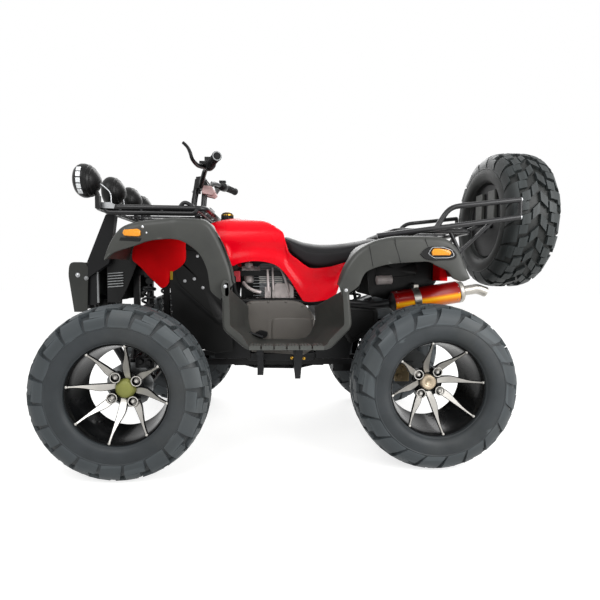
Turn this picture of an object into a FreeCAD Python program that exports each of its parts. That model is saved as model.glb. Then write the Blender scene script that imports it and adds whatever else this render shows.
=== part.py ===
"""Quad bike with a spare tyre carrier.

The machine faces -X, its left side is on -Y and it stands on z = 0. All lengths are in millimetres.
Everything is laid out from the middle of the wheelbase, and at the end the whole model is moved along X so
that its origin is at the centre of its base. Round pieces are built in flat facets.
"""
import FreeCAD, Part
import math
import os

# Driving sizes of the whole machine
WHEELBASE = 1160.0
FRONT_WIDTH = 1210.0
REAR_WIDTH = 1108.0
TYRE_RADIUS = 317.5
BEAD_RADIUS = 172.0
FRONT_TYRE_WIDTH = 185.0
REAR_TYRE_WIDTH = 240.0
SEAT_GAP = 0.3
RUNNING_GAP = 0.3
CUT_OVERRUN = 5.0
ROUND_SIDES = 8
BIG_ROUND_SIDES = 12
LAMP_SIDES = 10
THIN_SIDES = 6
QUARTER_TURN = 90.0
CUBIC_CENTIMETRE = 1000.0

FRONT_X = -WHEELBASE / 2
REAR_X = WHEELBASE / 2
LEFT = -1
RIGHT = 1

# Tyres and rims share one ring of flat facets, a wide and a narrow one for each pitch of the tread
LUG_PITCHES = 15
WIDE_FACET_SHARE = 0.6
LUG_HEIGHT = 14.5
LUG_TAPER_SHARE = 0.8
TREAD_HALF_SHARE = 0.17
SHOULDER_HALF_SHARE = 0.455
SHOULDER_RADIUS_SHARE = 0.915
WALL_RADIUS_SHARE = 0.79
BEAD_HALF_SHARE = 0.36
CASING_WALL = 16.0

# Alloy wheels
RIM_WALL = 7.0
RIM_LIP = 8.0
FRONT_DISH_DEPTH = 115.0
REAR_DISH_DEPTH = 145.0
CAP_RADIUS = 32.0
CAP_LENGTH = 15.0
DISC_RADIUS = 62.0
DISC_THICKNESS = 14.0
SPOKES = 8
SPOKE_ROOT_RADIUS = 48.0
SPOKE_ROOT_WIDTH = 38.0
SPOKE_MIDDLE_WIDTH = 27.0
SPOKE_TIP_WIDTH = 9.0
SPOKE_ROOT_THICKNESS = 13.0
SPOKE_TIP_THICKNESS = 8.0
SPOKE_BOW = 13.0
SPOKE_RISE = 46.0

# Front hubs, knuckles and steering linkage
HUB_FLANGE_RADIUS = 55.0
HUB_FLANGE = 12.0
HUB_RADIUS = 34.0
HUB_LENGTH = 32.0
HUB_BORE = 12.0
BRAKE_DISC_RADIUS = 88.0
BRAKE_DISC_THICKNESS = 4.0
KINGPIN_INSET = 22.0
UPRIGHT_LENGTH = 46.0
UPRIGHT_DEPTH = 36.0
UPRIGHT_HEIGHT = 118.0
BALL_JOINT_RADIUS = 15.0
BALL_JOINT_HEIGHT = 34.0
STEERING_ARM = 70.0
STEERING_ARM_WIDTH = 20.0
STEERING_ARM_THICKNESS = 10.0
STEERING_ARM_RISE = 44.0
TIE_ROD_RADIUS = 6.0
PIN_RADIUS = 4.0
PIN_SPREAD = 15.0
ROD_END_RADIUS = 11.0
ROD_END_THICKNESS = 14.0
ROD_END_PLAY = 1.5
ROD_END_LIFT = 0.8
PIN_OVERRUN = 4.0

# Steering column and handlebar
COLUMN_RADIUS = 14.0
COLUMN_BOTTOM_BACK = 60.0
COLUMN_BOTTOM_Z = 400.0
COLUMN_TOP_BACK = 209.0
COLUMN_TOP_Z = 1128.0
BEARING_RADIUS = 20.0
BEARING_LENGTH = 48.0
HANDLEBAR_RADIUS = 11.0
HANDLEBAR_HALF = 385.0
BAR_RISE = 50.0
BAR_SWEEP = 80.0
BAR_BEND_Y = 150.0
BAR_START_Y = 60.0
BAR_BACK = 34.0
GRIP_RADIUS = 16.0
GRIP_LENGTH = 120.0
CLAMP_WIDTH = 46.0
LEVER_RADIUS = 6.0
LEVER_REACH = 120.0
LEVER_RISE = 46.0
POD_LENGTH = 52.0
POD_RADIUS = 24.0
METER_HALF = 42.0
METER_DEPTH = 54.0
METER_HEIGHT = 50.0

# Frame
RAIL = 24.0
RAIL_INNER = 100.0
LOWER_RAIL_Z = 330.0
UPPER_RAIL_Z = 730.0
RAIL_LEAD = 102.0
LOWER_RAIL_REAR_X = 320.0
UPPER_RAIL_TAIL = 30.0
BULKHEAD_HALF = 65.0
MID_UPRIGHT_X = -238.0
REAR_UPRIGHT_X = 212.0
ARM_RADIUS = 11.0
BUSH_RADIUS = 14.0
BUSH_LENGTH = 40.0
UPPER_ARM_Z = 470.0
LOWER_ARM_Z = 342.0
OUTRIGGER_FRONT_X = -90.0
OUTRIGGER_REAR_X = 62.0
OUTRIGGER_KNEE_Y = 316.0
OUTRIGGER_END_Y = 440.0
POST_FOOT_Z = 315.0
POST_LENGTH = 44.0
STAY_RADIUS = 8.0
STAY_Y = 215.0
COWL_POST_BACK = 60.0
FENDER_STAY_LEAD = 150.0
PANEL_TAB_X = 20.0
SKID_X = -215.0
SKID_LENGTH = 405.0
SKID_DROP = 15.0
SKID_HALF = 118.0
SKID_SHARES = ((0.00, 1.0), (0.12, 1.0), (0.23, 0.2), (0.72, 0.0), (0.88, 1.0), (1.00, 1.0))
LEVER_SHAFT_X = -88.0
LEVER_SHAFT_Z = 470.0
FOOT_LEVER_REACH = 50.0
FOOT_LEVER_RISE = 18.0
FOOT_LEVER_Y = 224.0
FOOT_LEVER_PAD = 34.0

# Shock absorbers
SPRING_RADIUS = 27.0
DAMPER_RADIUS = 17.0
SPRING_COILS = 4
SHOCK_FOOT_Y = 232.0
SHOCK_HEAD_Y = 150.0
SHOCK_HEAD_Z = 705.0
REAR_SHOCK_HEAD_X = 330.0
REAR_SHOCK_FOOT_X = 420.0

# Swingarm, axle and chain
AXLE_RADIUS = 17.0
CARRIER_RADIUS = 38.0
CARRIER_HALF = 100.0
SWINGARM_INNER = 58.0
SWINGARM_WIDTH = 30.0
SWINGARM_HEIGHT = 50.0
SPROCKET_RADIUS = 88.0
SPROCKET_THICKNESS = 7.0
SPROCKET_Y = 150.0
DRIVE_SPROCKET_RADIUS = 28.0
DRIVE_SHAFT_RADIUS = 12.0
DRIVE_SPROCKET_X = 110.0
DRIVE_SPROCKET_Z = 450.0
CHAIN_THICKNESS = 12.0
CHAIN_WIDTH = 12.0
CHAIN_GAP = 1.0
REAR_DISC_RADIUS = 92.0
REAR_DISC_Y = -150.0

# Engine and exhaust
CRANKCASE_FRONT_X = -165.0
CRANKCASE_LENGTH = 318.0
CRANKCASE_BOTTOM_Z = 378.0
CRANKCASE_TOP_Z = 615.0
CRANKCASE_HALF = 150.0
COVER_DEPTH = 42.0
BOSS_DEPTH = 8.0
CYLINDER_HALF = 78.0
CYLINDER_X = -95.0
CYLINDER_LENGTH = 130.0
CYLINDER_HEIGHT = 120.0
FIN_COUNT = 7
FIN_THICKNESS = 4.0
FIN_DEPTH = 16.0
HEAD_HEIGHT = 48.0
CARBURETTOR_RADIUS = 23.0
CARBURETTOR_LENGTH = 74.0
CARBURETTOR_Y = -58.0
EXHAUST_RADIUS = 17.0
EXHAUST_Y = -165.0
EXHAUST_FRONT_X = -205.0
EXHAUST_Z = 640.0
MUFFLER_RADIUS = 48.0
MUFFLER_Y = -236.0
MUFFLER_LEAD = 125.0
MUFFLER_FRONT_Z = 618.0
MUFFLER_LENGTH = 321.0
MUFFLER_RISE = 54.0
MUFFLER_CAP = 22.0
TAIL_PIPE_RADIUS = 22.0
STRAP_THICKNESS = 4.0
STRAP_WIDTH = 22.0
STRAP_BACK = 99.0
COVER_SHARES = ((0.00, 0.28), (0.10, 0.06), (0.82, 0.00), (0.97, 0.12), (1.00, 0.42), (0.93, 0.74),
                (0.78, 0.96), (0.62, 1.00), (0.06, 0.98), (0.00, 0.90))
BOSS_SHARES = ((0.30, 0.34), (0.32, 0.67), (0.40, 0.72), (0.80, 0.73), (0.88, 0.67), (0.92, 0.54),
               (0.91, 0.38), (0.86, 0.31))

# Plastics
PANEL = 5.0
FENDER_OUT = 470.0
FOOTWELL_LAP_GAP = 1.0
FOOTWELL_IN = 205.0
TANK_HALF = 195.0
SEAT_HALF = 158.0
FRONT_FENDER_LEAD = 75.0
FRONT_FENDER_LENGTH = 468.0
FRONT_FENDER_Z = 640.0
FRONT_FENDER_HEIGHT = 306.0
FRONT_FENDER_OUTER_SHARES = (
    (0.00, 0.50), (0.03, 0.66), (0.08, 0.80), (0.15, 0.90), (0.26, 0.95), (0.44, 0.98), (0.65, 1.00),
    (0.78, 0.98), (0.83, 0.91), (0.90, 0.74), (0.95, 0.52), (0.98, 0.37), (1.00, 0.21))
FRONT_FENDER_INNER_SHARES = (
    (0.08, 0.57), (0.22, 0.65), (0.34, 0.71), (0.49, 0.74), (0.60, 0.71), (0.69, 0.63), (0.75, 0.52),
    (0.79, 0.37), (0.81, 0.20), (0.84, 0.07), (0.90, 0.00))
REAR_FENDER_LEAD = 401.0
REAR_FENDER_LENGTH = 531.0
REAR_FENDER_Z = 653.0
REAR_FENDER_HEIGHT = 238.0
REAR_FENDER_OUTER_SHARES = (
    (0.00, 0.24), (0.03, 0.49), (0.09, 0.67), (0.16, 0.82), (0.24, 0.93), (0.30, 0.97), (0.47, 1.00),
    (0.68, 1.00), (0.80, 0.97), (0.88, 0.89), (0.94, 0.70), (1.00, 0.33))
REAR_FENDER_INNER_SHARES = (
    (0.08, 0.00), (0.14, 0.09), (0.20, 0.19), (0.22, 0.34), (0.27, 0.45), (0.40, 0.55), (0.61, 0.58),
    (0.70, 0.59), (0.75, 0.53), (0.84, 0.43), (0.88, 0.32), (0.95, 0.27))
INNER_PANEL_Y = 206.0
FRONT_INNER_LENGTH = 226.0
FRONT_INNER_LEAD = 58.0
FRONT_INNER_Z = 672.0
FRONT_INNER_HEIGHT = 188.0
FRONT_INNER_SHARES = ((0.98, 1.00), (0.96, 0.62), (0.74, 0.61), (0.76, 0.43), (0.70, 0.19), (0.55, 0.00),
                      (0.33, 0.27), (0.15, 0.52), (0.00, 0.65), (0.02, 0.88))
REAR_INNER_Y = 182.0
REAR_INNER_LEAD = 120.0
REAR_INNER_LENGTH = 215.0
REAR_INNER_Z = 735.0
REAR_INNER_FOOT_SHARES = ((1.00, 0.20), (0.85, 0.05), (0.00, 0.00))
GUARD_X = -437.0
GUARD_LENGTH = 225.0
GUARD_Z = 512.0
GUARD_HEIGHT = 352.0
FRONT_GUARD_SHARES = ((0.10, 1.00), (0.50, 0.98), (0.72, 0.80), (0.90, 0.40), (1.00, 0.36), (1.00, 0.00),
                      (0.70, 0.02), (0.22, 0.30), (0.00, 0.62))
REAR_GUARD_X = 246.0
REAR_GUARD_LENGTH = 174.0
REAR_GUARD_Z = 431.0
REAR_GUARD_HEIGHT = 206.0
REAR_GUARD_SHARES = ((0.00, 0.80), (0.98, 0.80), (1.00, 0.40), (0.29, 0.00), (0.02, 0.42))
FOOT_Z = 455.0
FOOTWELL_X = -232.0
FOOTWELL_LENGTH = 492.0
FOOTWELL_HEIGHT = 215.0
FOOTWELL_OUTER_SHARES = ((0.01, 1.00), (0.01, 0.36), (0.19, 0.00), (0.83, 0.00), (1.00, 0.40), (0.98, 0.86))
FOOTWELL_FLANGE = 60.0
PAD_COUNT = 6
PAD_PITCH = 48.0
PAD_LENGTH = 40.0
PAD_HEIGHT = 10.0
PAD_WIDTH = 50.0
TANK_X = -330.0
TANK_LENGTH = 620.0
TANK_Z = 619.0
TANK_HEIGHT = 374.0
TANK_PANEL_SHARES = (
    (0.00, 0.89), (0.11, 0.96), (0.19, 1.00), (0.38, 0.98), (0.44, 0.93), (0.54, 0.80), (0.52, 0.71),
    (0.57, 0.58), (0.64, 0.49), (0.69, 0.42), (0.74, 0.39), (0.87, 0.41), (0.99, 0.44), (0.96, 0.33),
    (0.89, 0.05), (0.80, 0.01), (0.69, 0.00), (0.65, 0.07), (0.58, 0.26), (0.51, 0.39), (0.44, 0.45),
    (0.34, 0.47), (0.24, 0.45), (0.17, 0.41), (0.15, 0.57), (0.11, 0.71), (0.04, 0.84))
TANK_TOP_SHARES = (
    (0.00, 0.89), (0.11, 0.96), (0.19, 1.00), (0.38, 0.98), (0.44, 0.93), (0.54, 0.80), (0.52, 0.71),
    (0.55, 0.62), (0.15, 0.57), (0.11, 0.71), (0.04, 0.84))
TANK_SECTION_SHARES = ((-1.00, 0.55), (-1.00, 0.70), (-0.90, 0.85), (-0.70, 0.94), (-0.40, 1.00),
                       (0.40, 1.00), (0.70, 0.94), (0.90, 0.85), (1.00, 0.70), (1.00, 0.55))
PANEL_SECTION_SHARES = ((-1.00, -0.10), (-1.00, 0.70), (-0.90, 0.85), (0.00, 0.85), (0.00, -0.10))
SEAT_START_SHARE = 0.521
SEAT_LENGTH = 541.0
SEAT_HEIGHT = 174.7
SEAT_SHARES = (
    (0.02, 0.90), (0.04, 0.93), (0.16, 0.81), (0.33, 0.71), (0.55, 0.74), (0.78, 0.89), (0.83, 0.90),
    (0.83, 0.68), (0.75, 0.54), (0.57, 0.24), (0.40, 0.06), (0.34, 0.00), (0.26, 0.00), (0.20, 0.12),
    (0.13, 0.28), (0.06, 0.48), (0.02, 0.74))
SEAT_SECTION_SHARES = ((-0.95, 0.00), (-1.00, 0.45), (-0.95, 0.72), (-0.78, 0.90), (-0.45, 1.00),
                       (0.45, 1.00), (0.78, 0.90), (0.95, 0.72), (1.00, 0.45), (0.95, 0.00))
CAP_BACK = 72.0
FILLER_RADIUS = 26.0
FILLER_HEIGHT = 34.0

# Nose fairing with its slats, and marker lamps
NOSE_LEAD = 185.0
NOSE_LENGTH = 141.0
NOSE_Z = 610.0
NOSE_HEIGHT = 175.0
NOSE_HALF = 180.0
NOSE_SHARES = ((0.00, 0.00), (0.02, 1.00), (1.00, 0.86), (0.72, 0.39))
SLAT_COUNT = 6
SLAT_PITCH = 11.5
SLAT_HEIGHT = 4.5
SLAT_DEPTH = 6.0
SLAT_FRONT_SHARE = 0.13
SLAT_REAR_SHARE = 0.60
SLAT_LOW_SHARE = 0.38
MARKER_DEPTH = 12.0
FRONT_MARKER_BACK = 67.0
FRONT_MARKER_Z = 874.0
FRONT_MARKER_LENGTH = 72.0
FRONT_MARKER_HEIGHT = 28.0
REAR_MARKER_BACK = 384.0
REAR_MARKER_Z = 806.0
REAR_MARKER_LENGTH = 66.0
REAR_MARKER_HEIGHT = 32.0
MARKER_SHARES = ((0.00, 0.40), (0.06, 0.85), (0.85, 1.00), (1.00, 0.80), (1.00, 0.15), (0.90, 0.00),
                 (0.10, 0.05))

# Racks, bumper, lamps and spare tyre
RACK_RADIUS = 11.0
RACK_BEND = 44.0
SLAT_HALF = 8.0
SLAT_PROUD = 2.0
RACK_TANK_GAP = 4.0
FRONT_RACK_LEAD = 155.0
FRONT_RACK_LENGTH = 428.0
FRONT_RACK_HALF = 330.0
FRONT_SLAT_Y = (55.0, 150.0, 240.0)
RACK_LEG_INSET = 43.0
HOOP_LENGTH = 62.0
HOOP_HEIGHT = 22.0
REAR_RACK_LEAD = 118.0
REAR_RACK_LENGTH = 328.0
REAR_RACK_HALF = 290.0
REAR_RACK_Z = 925.0
REAR_SLAT_Y = (0.0, 112.0, 200.0)
REAR_LEG_INSET = 34.0
REAR_LEG_PITCH = 92.0
SIDE_TUBE_Y = 331.0
SIDE_TUBE_LEAD = 200.0
SIDE_TUBE_LENGTH = 593.0
SIDE_TUBE_DROP = 27.0
SIDE_TUBE_RISE = 84.0
SIDE_TIE_SHARE = 0.321
UPPER_TUBE_SHARES = ((0.41, 0.41), (0.50, 1.45), (1.00, 1.85))
REAR_STRUT_LEAD = 160.0
REAR_STRUT_DROP = 87.0
LAMP_Y = (120.0, 360.0)
LAMP_RISE = 94.0
LAMP_FACE_LEAD = 226.0
LAMP_RADIUS = 66.0
LAMP_LENGTH = 104.0
LAMP_BAR = 12.0
LAMP_SHAPE_SHARES = ((0.00, 0.93), (0.08, 1.00), (0.42, 0.97), (0.72, 0.74), (1.00, 0.28))
BUMPER_LEAD = 315.0
BUMPER_DEPTH = 110.0
BUMPER_LOW_Z = 574.0
BUMPER_HEIGHT = 210.0
BUMPER_HALF = 220.0
BUMPER_SHARES = ((0.19, 0.00), (0.00, 0.74), (0.04, 0.94), (0.12, 1.00), (0.82, 1.00), (0.96, 0.88),
                 (0.86, 0.00))
PILLAR_BACK = 77.0
PILLAR_FOOT = 70.0
PILLAR_LENGTH = 90.0
PILLAR_TOP_LENGTH = 48.0
PILLAR_LEAN = 77.0
BUMPER_TUBE_RADIUS = 18.0
BUMPER_TUBE_BACK = 60.0
SPARE_TAIL = 490.0
SPARE_Z = 1004.0
CARRIER_PLATE = 6.0
CARRIER_Y = 112.0
CARRIER_ARM = 18.0

RAIL_FRONT_X = FRONT_X - RAIL_LEAD
UPPER_RAIL_REAR_X = REAR_X + UPPER_RAIL_TAIL
RAIL_TOP_Z = UPPER_RAIL_Z + RAIL
RAIL_MIDDLE_Y = RAIL_INNER + RAIL / 2
RAIL_OUTER_Y = RAIL_INNER + RAIL
FRONT_RACK_FRONT_X = FRONT_X - FRONT_RACK_LEAD
FRONT_RACK_REAR_X = FRONT_RACK_FRONT_X + FRONT_RACK_LENGTH
FRONT_RACK_Z = TANK_Z + TANK_HEIGHT + RACK_TANK_GAP
RACK_LEG_X = FRONT_RACK_REAR_X - RACK_LEG_INSET
REAR_RACK_FRONT_X = REAR_X - REAR_RACK_LEAD
REAR_RACK_REAR_X = REAR_RACK_FRONT_X + REAR_RACK_LENGTH
SEAT_X = TANK_X + SEAT_START_SHARE * TANK_LENGTH
SEAT_Z = RAIL_TOP_Z + SEAT_GAP
NOSE_X = FRONT_X - NOSE_LEAD
BUMPER_FRONT_X = FRONT_X - BUMPER_LEAD
SPARE_X = REAR_X + SPARE_TAIL
FOOTWELL_OUT = FENDER_OUT + FOOTWELL_LAP_GAP + PANEL


def flat(radius, sides=ROUND_SIDES):
    """The distance of a faceted round piece's flats from its axis."""
    return radius * math.cos(math.pi / sides)


def vec(x, y, z):
    """A point or a direction."""
    return FreeCAD.Vector(x, y, z)


def spread(shares, low_x, low_z, length, height):
    """An outline in X and Z from shares of a box's length and height."""
    return [(low_x + share_x * length, low_z + share_z * height) for share_x, share_z in shares]


def prism(points, y_from, y_to):
    """A side outline in X and Z carried across the machine from one Y to another."""
    corners = [vec(x, y_from, z) for x, z in points]
    face = Part.Face(Part.makePolygon(corners + corners[:1]))
    return face.extrude(vec(0, y_to - y_from, 0))


def end_prism(points, x_from, x_to):
    """An outline in Y and Z carried along the machine from one X to another."""
    corners = [vec(x_from, y, z) for y, z in points]
    face = Part.Face(Part.makePolygon(corners + corners[:1]))
    return face.extrude(vec(x_to - x_from, 0, 0))


def block(x_from, x_to, y_from, y_to, z_from, z_to):
    """A box between two corners, given in any order."""
    low = vec(min(x_from, x_to), min(y_from, y_to), min(z_from, z_to))
    return Part.makeBox(abs(x_to - x_from), abs(y_to - y_from), abs(z_to - z_from), low)


def flat_face(corners):
    """A flat face through its corners."""
    return Part.Face(Part.makePolygon(corners + corners[:1]))


def sewn(faces):
    """A solid from the flat faces that close round it."""
    skin = Part.makeCompound(faces)
    skin.sewShape()
    solid = Part.Solid(skin.Shells[0])
    if solid.Volume < 0:
        solid.reverse()
    return solid


def ring(centre, way, radius, sides):
    """The corners of a regular polygon about an axis."""
    across = vec(1, 0, 0) if abs(way.z) > abs(way.x) + abs(way.y) else way.cross(vec(0, 0, 1)).normalize()
    up = way.cross(across).normalize()
    across = up.cross(way)
    angles = [2 * math.pi * (index + 1 / 2) / sides for index in range(sides)]
    return [centre + across * (radius * math.cos(angle)) + up * (radius * math.sin(angle)) for angle in angles]


def skinned(rings):
    """A solid whose flat facets run from ring to ring, closed at both ends."""
    faces = [flat_face(rings[0]), flat_face(rings[-1])]
    for near, far in zip(rings, rings[1:]):
        for index in range(len(near)):
            following = (index + 1) % len(near)
            faces.append(flat_face([near[index], near[following], far[following], far[index]]))
    return sewn(faces)


def lathe(stations, start, way, sides):
    """A turned piece in flat facets, from (distance, radius) stations along an axis."""
    way = vec(way.x, way.y, way.z).normalize()
    return skinned([ring(start + way * distance, way, radius, sides) for distance, radius in stations])


def tube(start, end, radius, sides=ROUND_SIDES):
    """A round bar between two points, in flat facets whose corners lie on its radius."""
    corners = ring(start, (end - start).normalize(), radius, sides)
    return flat_face(corners).extrude(end - start)


def bore(start, end, radius, sides=ROUND_SIDES):
    """The space of a round hole, in flat facets that stay outside its radius."""
    return tube(start, end, radius / math.cos(math.pi / sides), sides)


def tube_run(points, radius, sides=ROUND_SIDES):
    """A round tube along straight runs that meet in mitres, in flat facets."""
    ways = [(end - start).normalize() for start, end in zip(points, points[1:])]
    rings = [ring(points[0], ways[0], radius, sides)]
    for way, following, end in zip(ways, ways[1:] + ways[-1:], points[1:]):
        cut = (way + following).normalize()
        rings.append([p + way * ((end - p).dot(cut) / way.dot(cut)) for p in rings[-1]])
    return skinned(rings)


def cut_corners(points, bend):
    """A path whose inner corners are each cut by one short run, so that a bend reads as bent tube."""
    result = [points[0]]
    for before, corner, after in zip(points, points[1:], points[2:]):
        result.append(corner + (before - corner).normalize() * bend)
        result.append(corner + (after - corner).normalize() * bend)
    return result + [points[-1]]


def fuse(pieces):
    """Join pieces that touch or overlap into one solid."""
    pieces = list(pieces)
    return pieces[0].multiFuse(pieces[1:]).removeSplitter()


def group(pieces):
    """Keep pieces apart in one node."""
    return Part.makeCompound(list(pieces))


def mirrored(shape):
    """The same piece on the other side of the machine."""
    return shape.mirror(vec(0, 0, 0), vec(0, 1, 0))


def pair(shape):
    """A left piece and its right twin."""
    return group([shape, mirrored(shape)])


def offset_line(points, distance):
    """An open outline moved sideways, with mitred corners; positive is to the left of its direction."""
    normals = []
    for (x0, z0), (x1, z1) in zip(points, points[1:]):
        length = math.hypot(x1 - x0, z1 - z0)
        normals.append((-(z1 - z0) / length, (x1 - x0) / length))
    before = [normals[0]] + normals
    after = normals + [normals[-1]]
    moved = []
    for (x, z), (ax, az), (bx, bz) in zip(points, before, after):
        scale = distance / (1 + ax * bx + az * bz)
        moved.append((x + (ax + bx) * scale, z + (az + bz) * scale))
    return moved


def strip(points, thickness):
    """The outline of a sheet of one thickness along an open line, on its left side."""
    return points + offset_line(points, thickness)[::-1]


# Wheels

def facet_angles():
    """Angles of the facet edges, with a narrow facet centred straight down."""
    pitch = 2 * math.pi / LUG_PITCHES
    narrow = pitch * (1 - WIDE_FACET_SHARE)
    angles = []
    for index in range(LUG_PITCHES):
        start = -math.pi / 2 + narrow / 2 + index * pitch
        angles += [start, start + pitch - narrow]
    return angles


NARROW_HALF_ANGLE = math.pi * (1 - WIDE_FACET_SHARE) / LUG_PITCHES
AXLE_Z = (TYRE_RADIUS - LUG_HEIGHT) * math.cos(NARROW_HALF_ANGLE) + LUG_HEIGHT


def lug_faces(corners):
    """The top and walls of a tapered lug that stands on a facet."""
    centre = sum(corners[1:], corners[0]) * (1 / len(corners))
    normal = (corners[2] - corners[0]).cross(corners[3] - corners[1]).normalize()
    top = [centre + (corner - centre) * LUG_TAPER_SHARE + normal * LUG_HEIGHT for corner in corners]
    walls = []
    for index in range(len(corners)):
        following = (index + 1) % len(corners)
        walls.append(flat_face([corners[index], corners[following], top[following], top[index]]))
    return walls + [flat_face(top)]


def faceted_ring(profile, lug_bands):
    """A closed profile of (y, radius) points carried round the Y axis in flat facets, some with lugs."""
    angles = facet_angles()
    count = len(angles)
    faces = []
    for index in range(count):
        start = angles[index]
        end = angles[(index + 1) % count]
        for band in range(len(profile)):
            near = profile[band]
            far = profile[(band + 1) % len(profile)]
            ends = ((end, near), (start, near), (start, far), (end, far))
            corners = [vec(r * math.cos(a), y, r * math.sin(a)) for a, (y, r) in ends]
            if band in lug_bands and (band - lug_bands[0] + index) % 2 == 0:
                faces += lug_faces(corners)
            else:
                faces.append(flat_face(corners))
    return sewn(faces)


def tyre(width, hollow):
    """A tyre about the Y axis: bead, bulging wall, shoulder lugs, centre lugs, and back."""
    bead = (BEAD_HALF_SHARE * width, BEAD_RADIUS)
    wall = (width / 2, WALL_RADIUS_SHARE * TYRE_RADIUS)
    shoulder = (SHOULDER_HALF_SHARE * width, SHOULDER_RADIUS_SHARE * TYRE_RADIUS)
    tread = (TREAD_HALF_SHARE * width, TYRE_RADIUS - LUG_HEIGHT)
    half = [bead, wall, shoulder, tread]
    profile = [(-y, r) for y, r in half] + half[::-1]
    if hollow:
        inside = [(y - CASING_WALL, r) for y, r in (bead, wall)]
        crown = (tread[0], tread[1] - CASING_WALL)
        profile += inside + [crown] + [(-y, r) for y, r in (crown, inside[1], inside[0])]
    return faceted_ring(profile, (2, 3, 4))


def spoke(angle, disc_y, barrel_radius):
    """A curved tapering blade from the wheel's disc out to its barrel, at the left wheel."""
    reach = barrel_radius + RIM_WALL / 2 - SPOKE_ROOT_RADIUS
    stations = ((0, SPOKE_ROOT_WIDTH, SPOKE_ROOT_THICKNESS, 0, 0),
                (1 / 2, SPOKE_MIDDLE_WIDTH, SPOKE_ROOT_THICKNESS, SPOKE_BOW, 1 / 3),
                (1, SPOKE_TIP_WIDTH, SPOKE_TIP_THICKNESS, 0, 1))
    rings = []
    for along, width, thickness, bow, rise in stations:
        radius = SPOKE_ROOT_RADIUS + along * reach
        y = disc_y - rise * SPOKE_RISE
        corners = []
        for across, out in ((-1, -1), (1, -1), (1, 1), (-1, 1)):
            corners.append(vec(radius, y + out * thickness / 2, bow + across * width / 2))
        rings.append(corners)
    blade = skinned(rings)
    blade.rotate(vec(0, 0, 0), vec(0, 1, 0), math.degrees(angle))
    return blade


def rim(width, disc_y):
    """An alloy wheel about the Y axis, outer face on -Y; disc_y is the middle of its disc."""
    outer = BEAD_RADIUS - SEAT_GAP
    inner = outer - RIM_WALL
    edge = BEAD_HALF_SHARE * width + RIM_LIP
    barrel = faceted_ring([(-edge, inner), (-edge, outer), (edge, outer), (edge, inner)], ())
    near = disc_y - DISC_THICKNESS / 2
    stations = [(0, CAP_RADIUS), (CAP_LENGTH, CAP_RADIUS), (CAP_LENGTH, DISC_RADIUS),
                (CAP_LENGTH + DISC_THICKNESS, DISC_RADIUS)]
    disc = lathe(stations, vec(0, near - CAP_LENGTH, 0), vec(0, 1, 0), 2 * SPOKES)
    blades = [spoke(2 * math.pi * index / SPOKES, disc_y, inner) for index in range(SPOKES)]
    return fuse([barrel, disc] + blades)


FRONT_WHEEL_Y = (FRONT_WIDTH - FRONT_TYRE_WIDTH) / 2
REAR_WHEEL_Y = (REAR_WIDTH - REAR_TYRE_WIDTH) / 2
FRONT_DISC_OFFSET = FRONT_DISH_DEPTH + CAP_LENGTH + DISC_THICKNESS / 2 - FRONT_TYRE_WIDTH / 2
REAR_DISC_OFFSET = REAR_DISH_DEPTH + CAP_LENGTH + DISC_THICKNESS / 2 - REAR_TYRE_WIDTH / 2
FRONT_DISC_Y = FRONT_WHEEL_Y - FRONT_DISC_OFFSET
REAR_DISC_PLANE_Y = REAR_WHEEL_Y - REAR_DISC_OFFSET
FRONT_HUB_FACE_Y = FRONT_DISC_Y - DISC_THICKNESS / 2
REAR_HUB_FACE_Y = REAR_DISC_PLANE_Y - DISC_THICKNESS / 2


def placed(shape, x, y, z):
    """A copy of a piece at a place."""
    return shape.translated(vec(x, y, z))


def axle_bar(x, z, y_from, y_to, radius, sides=ROUND_SIDES):
    """A round piece across the machine."""
    return tube(vec(x, y_from, z), vec(x, y_to, z), radius, sides)


def axle_bore(x, z, y_from, y_to, radius):
    """The space of a round hole across the machine."""
    return bore(vec(x, y_from, z), vec(x, y_to, z), radius)


def front_wheel():
    """The left front tyre and rim in place."""
    casing = placed(tyre(FRONT_TYRE_WIDTH, False), FRONT_X, -FRONT_WHEEL_Y, AXLE_Z)
    alloy = placed(rim(FRONT_TYRE_WIDTH, FRONT_DISC_OFFSET), FRONT_X, -FRONT_WHEEL_Y, AXLE_Z)
    return casing, alloy


def rear_wheel():
    """The left rear tyre and rim in place."""
    casing = placed(tyre(REAR_TYRE_WIDTH, False), REAR_X, -REAR_WHEEL_Y, AXLE_Z)
    alloy = placed(rim(REAR_TYRE_WIDTH, REAR_DISC_OFFSET), REAR_X, -REAR_WHEEL_Y, AXLE_Z)
    return casing, alloy


def height_on(line, x):
    """The height at X of an open outline that runs along +X."""
    for (x0, z0), (x1, z1) in zip(line, line[1:]):
        if x0 <= x <= x1:
            return z0 + (z1 - z0) * (x - x0) / (x1 - x0)
    return line[-1][1]


def grown(points, distance):
    """A closed outline moved outwards, with mitred corners."""
    pairs = list(zip(points, points[1:] + points[:1]))
    area = sum(x0 * z1 - x1 * z0 for (x0, z0), (x1, z1) in pairs)
    ring_line = points[-1:] + points + points[:1]
    return offset_line(ring_line, -math.copysign(distance, area))[1:-1]


HUB_END_Y = FRONT_HUB_FACE_Y - SEAT_GAP - HUB_FLANGE - HUB_LENGTH
KINGPIN_Y = HUB_END_Y - RUNNING_GAP - KINGPIN_INSET
BALL_LOW_Z = AXLE_Z - UPRIGHT_HEIGHT / 2 - SEAT_GAP - BALL_JOINT_HEIGHT / 2
BALL_HIGH_Z = AXLE_Z + UPRIGHT_HEIGHT / 2 + SEAT_GAP + BALL_JOINT_HEIGHT / 2


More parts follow.
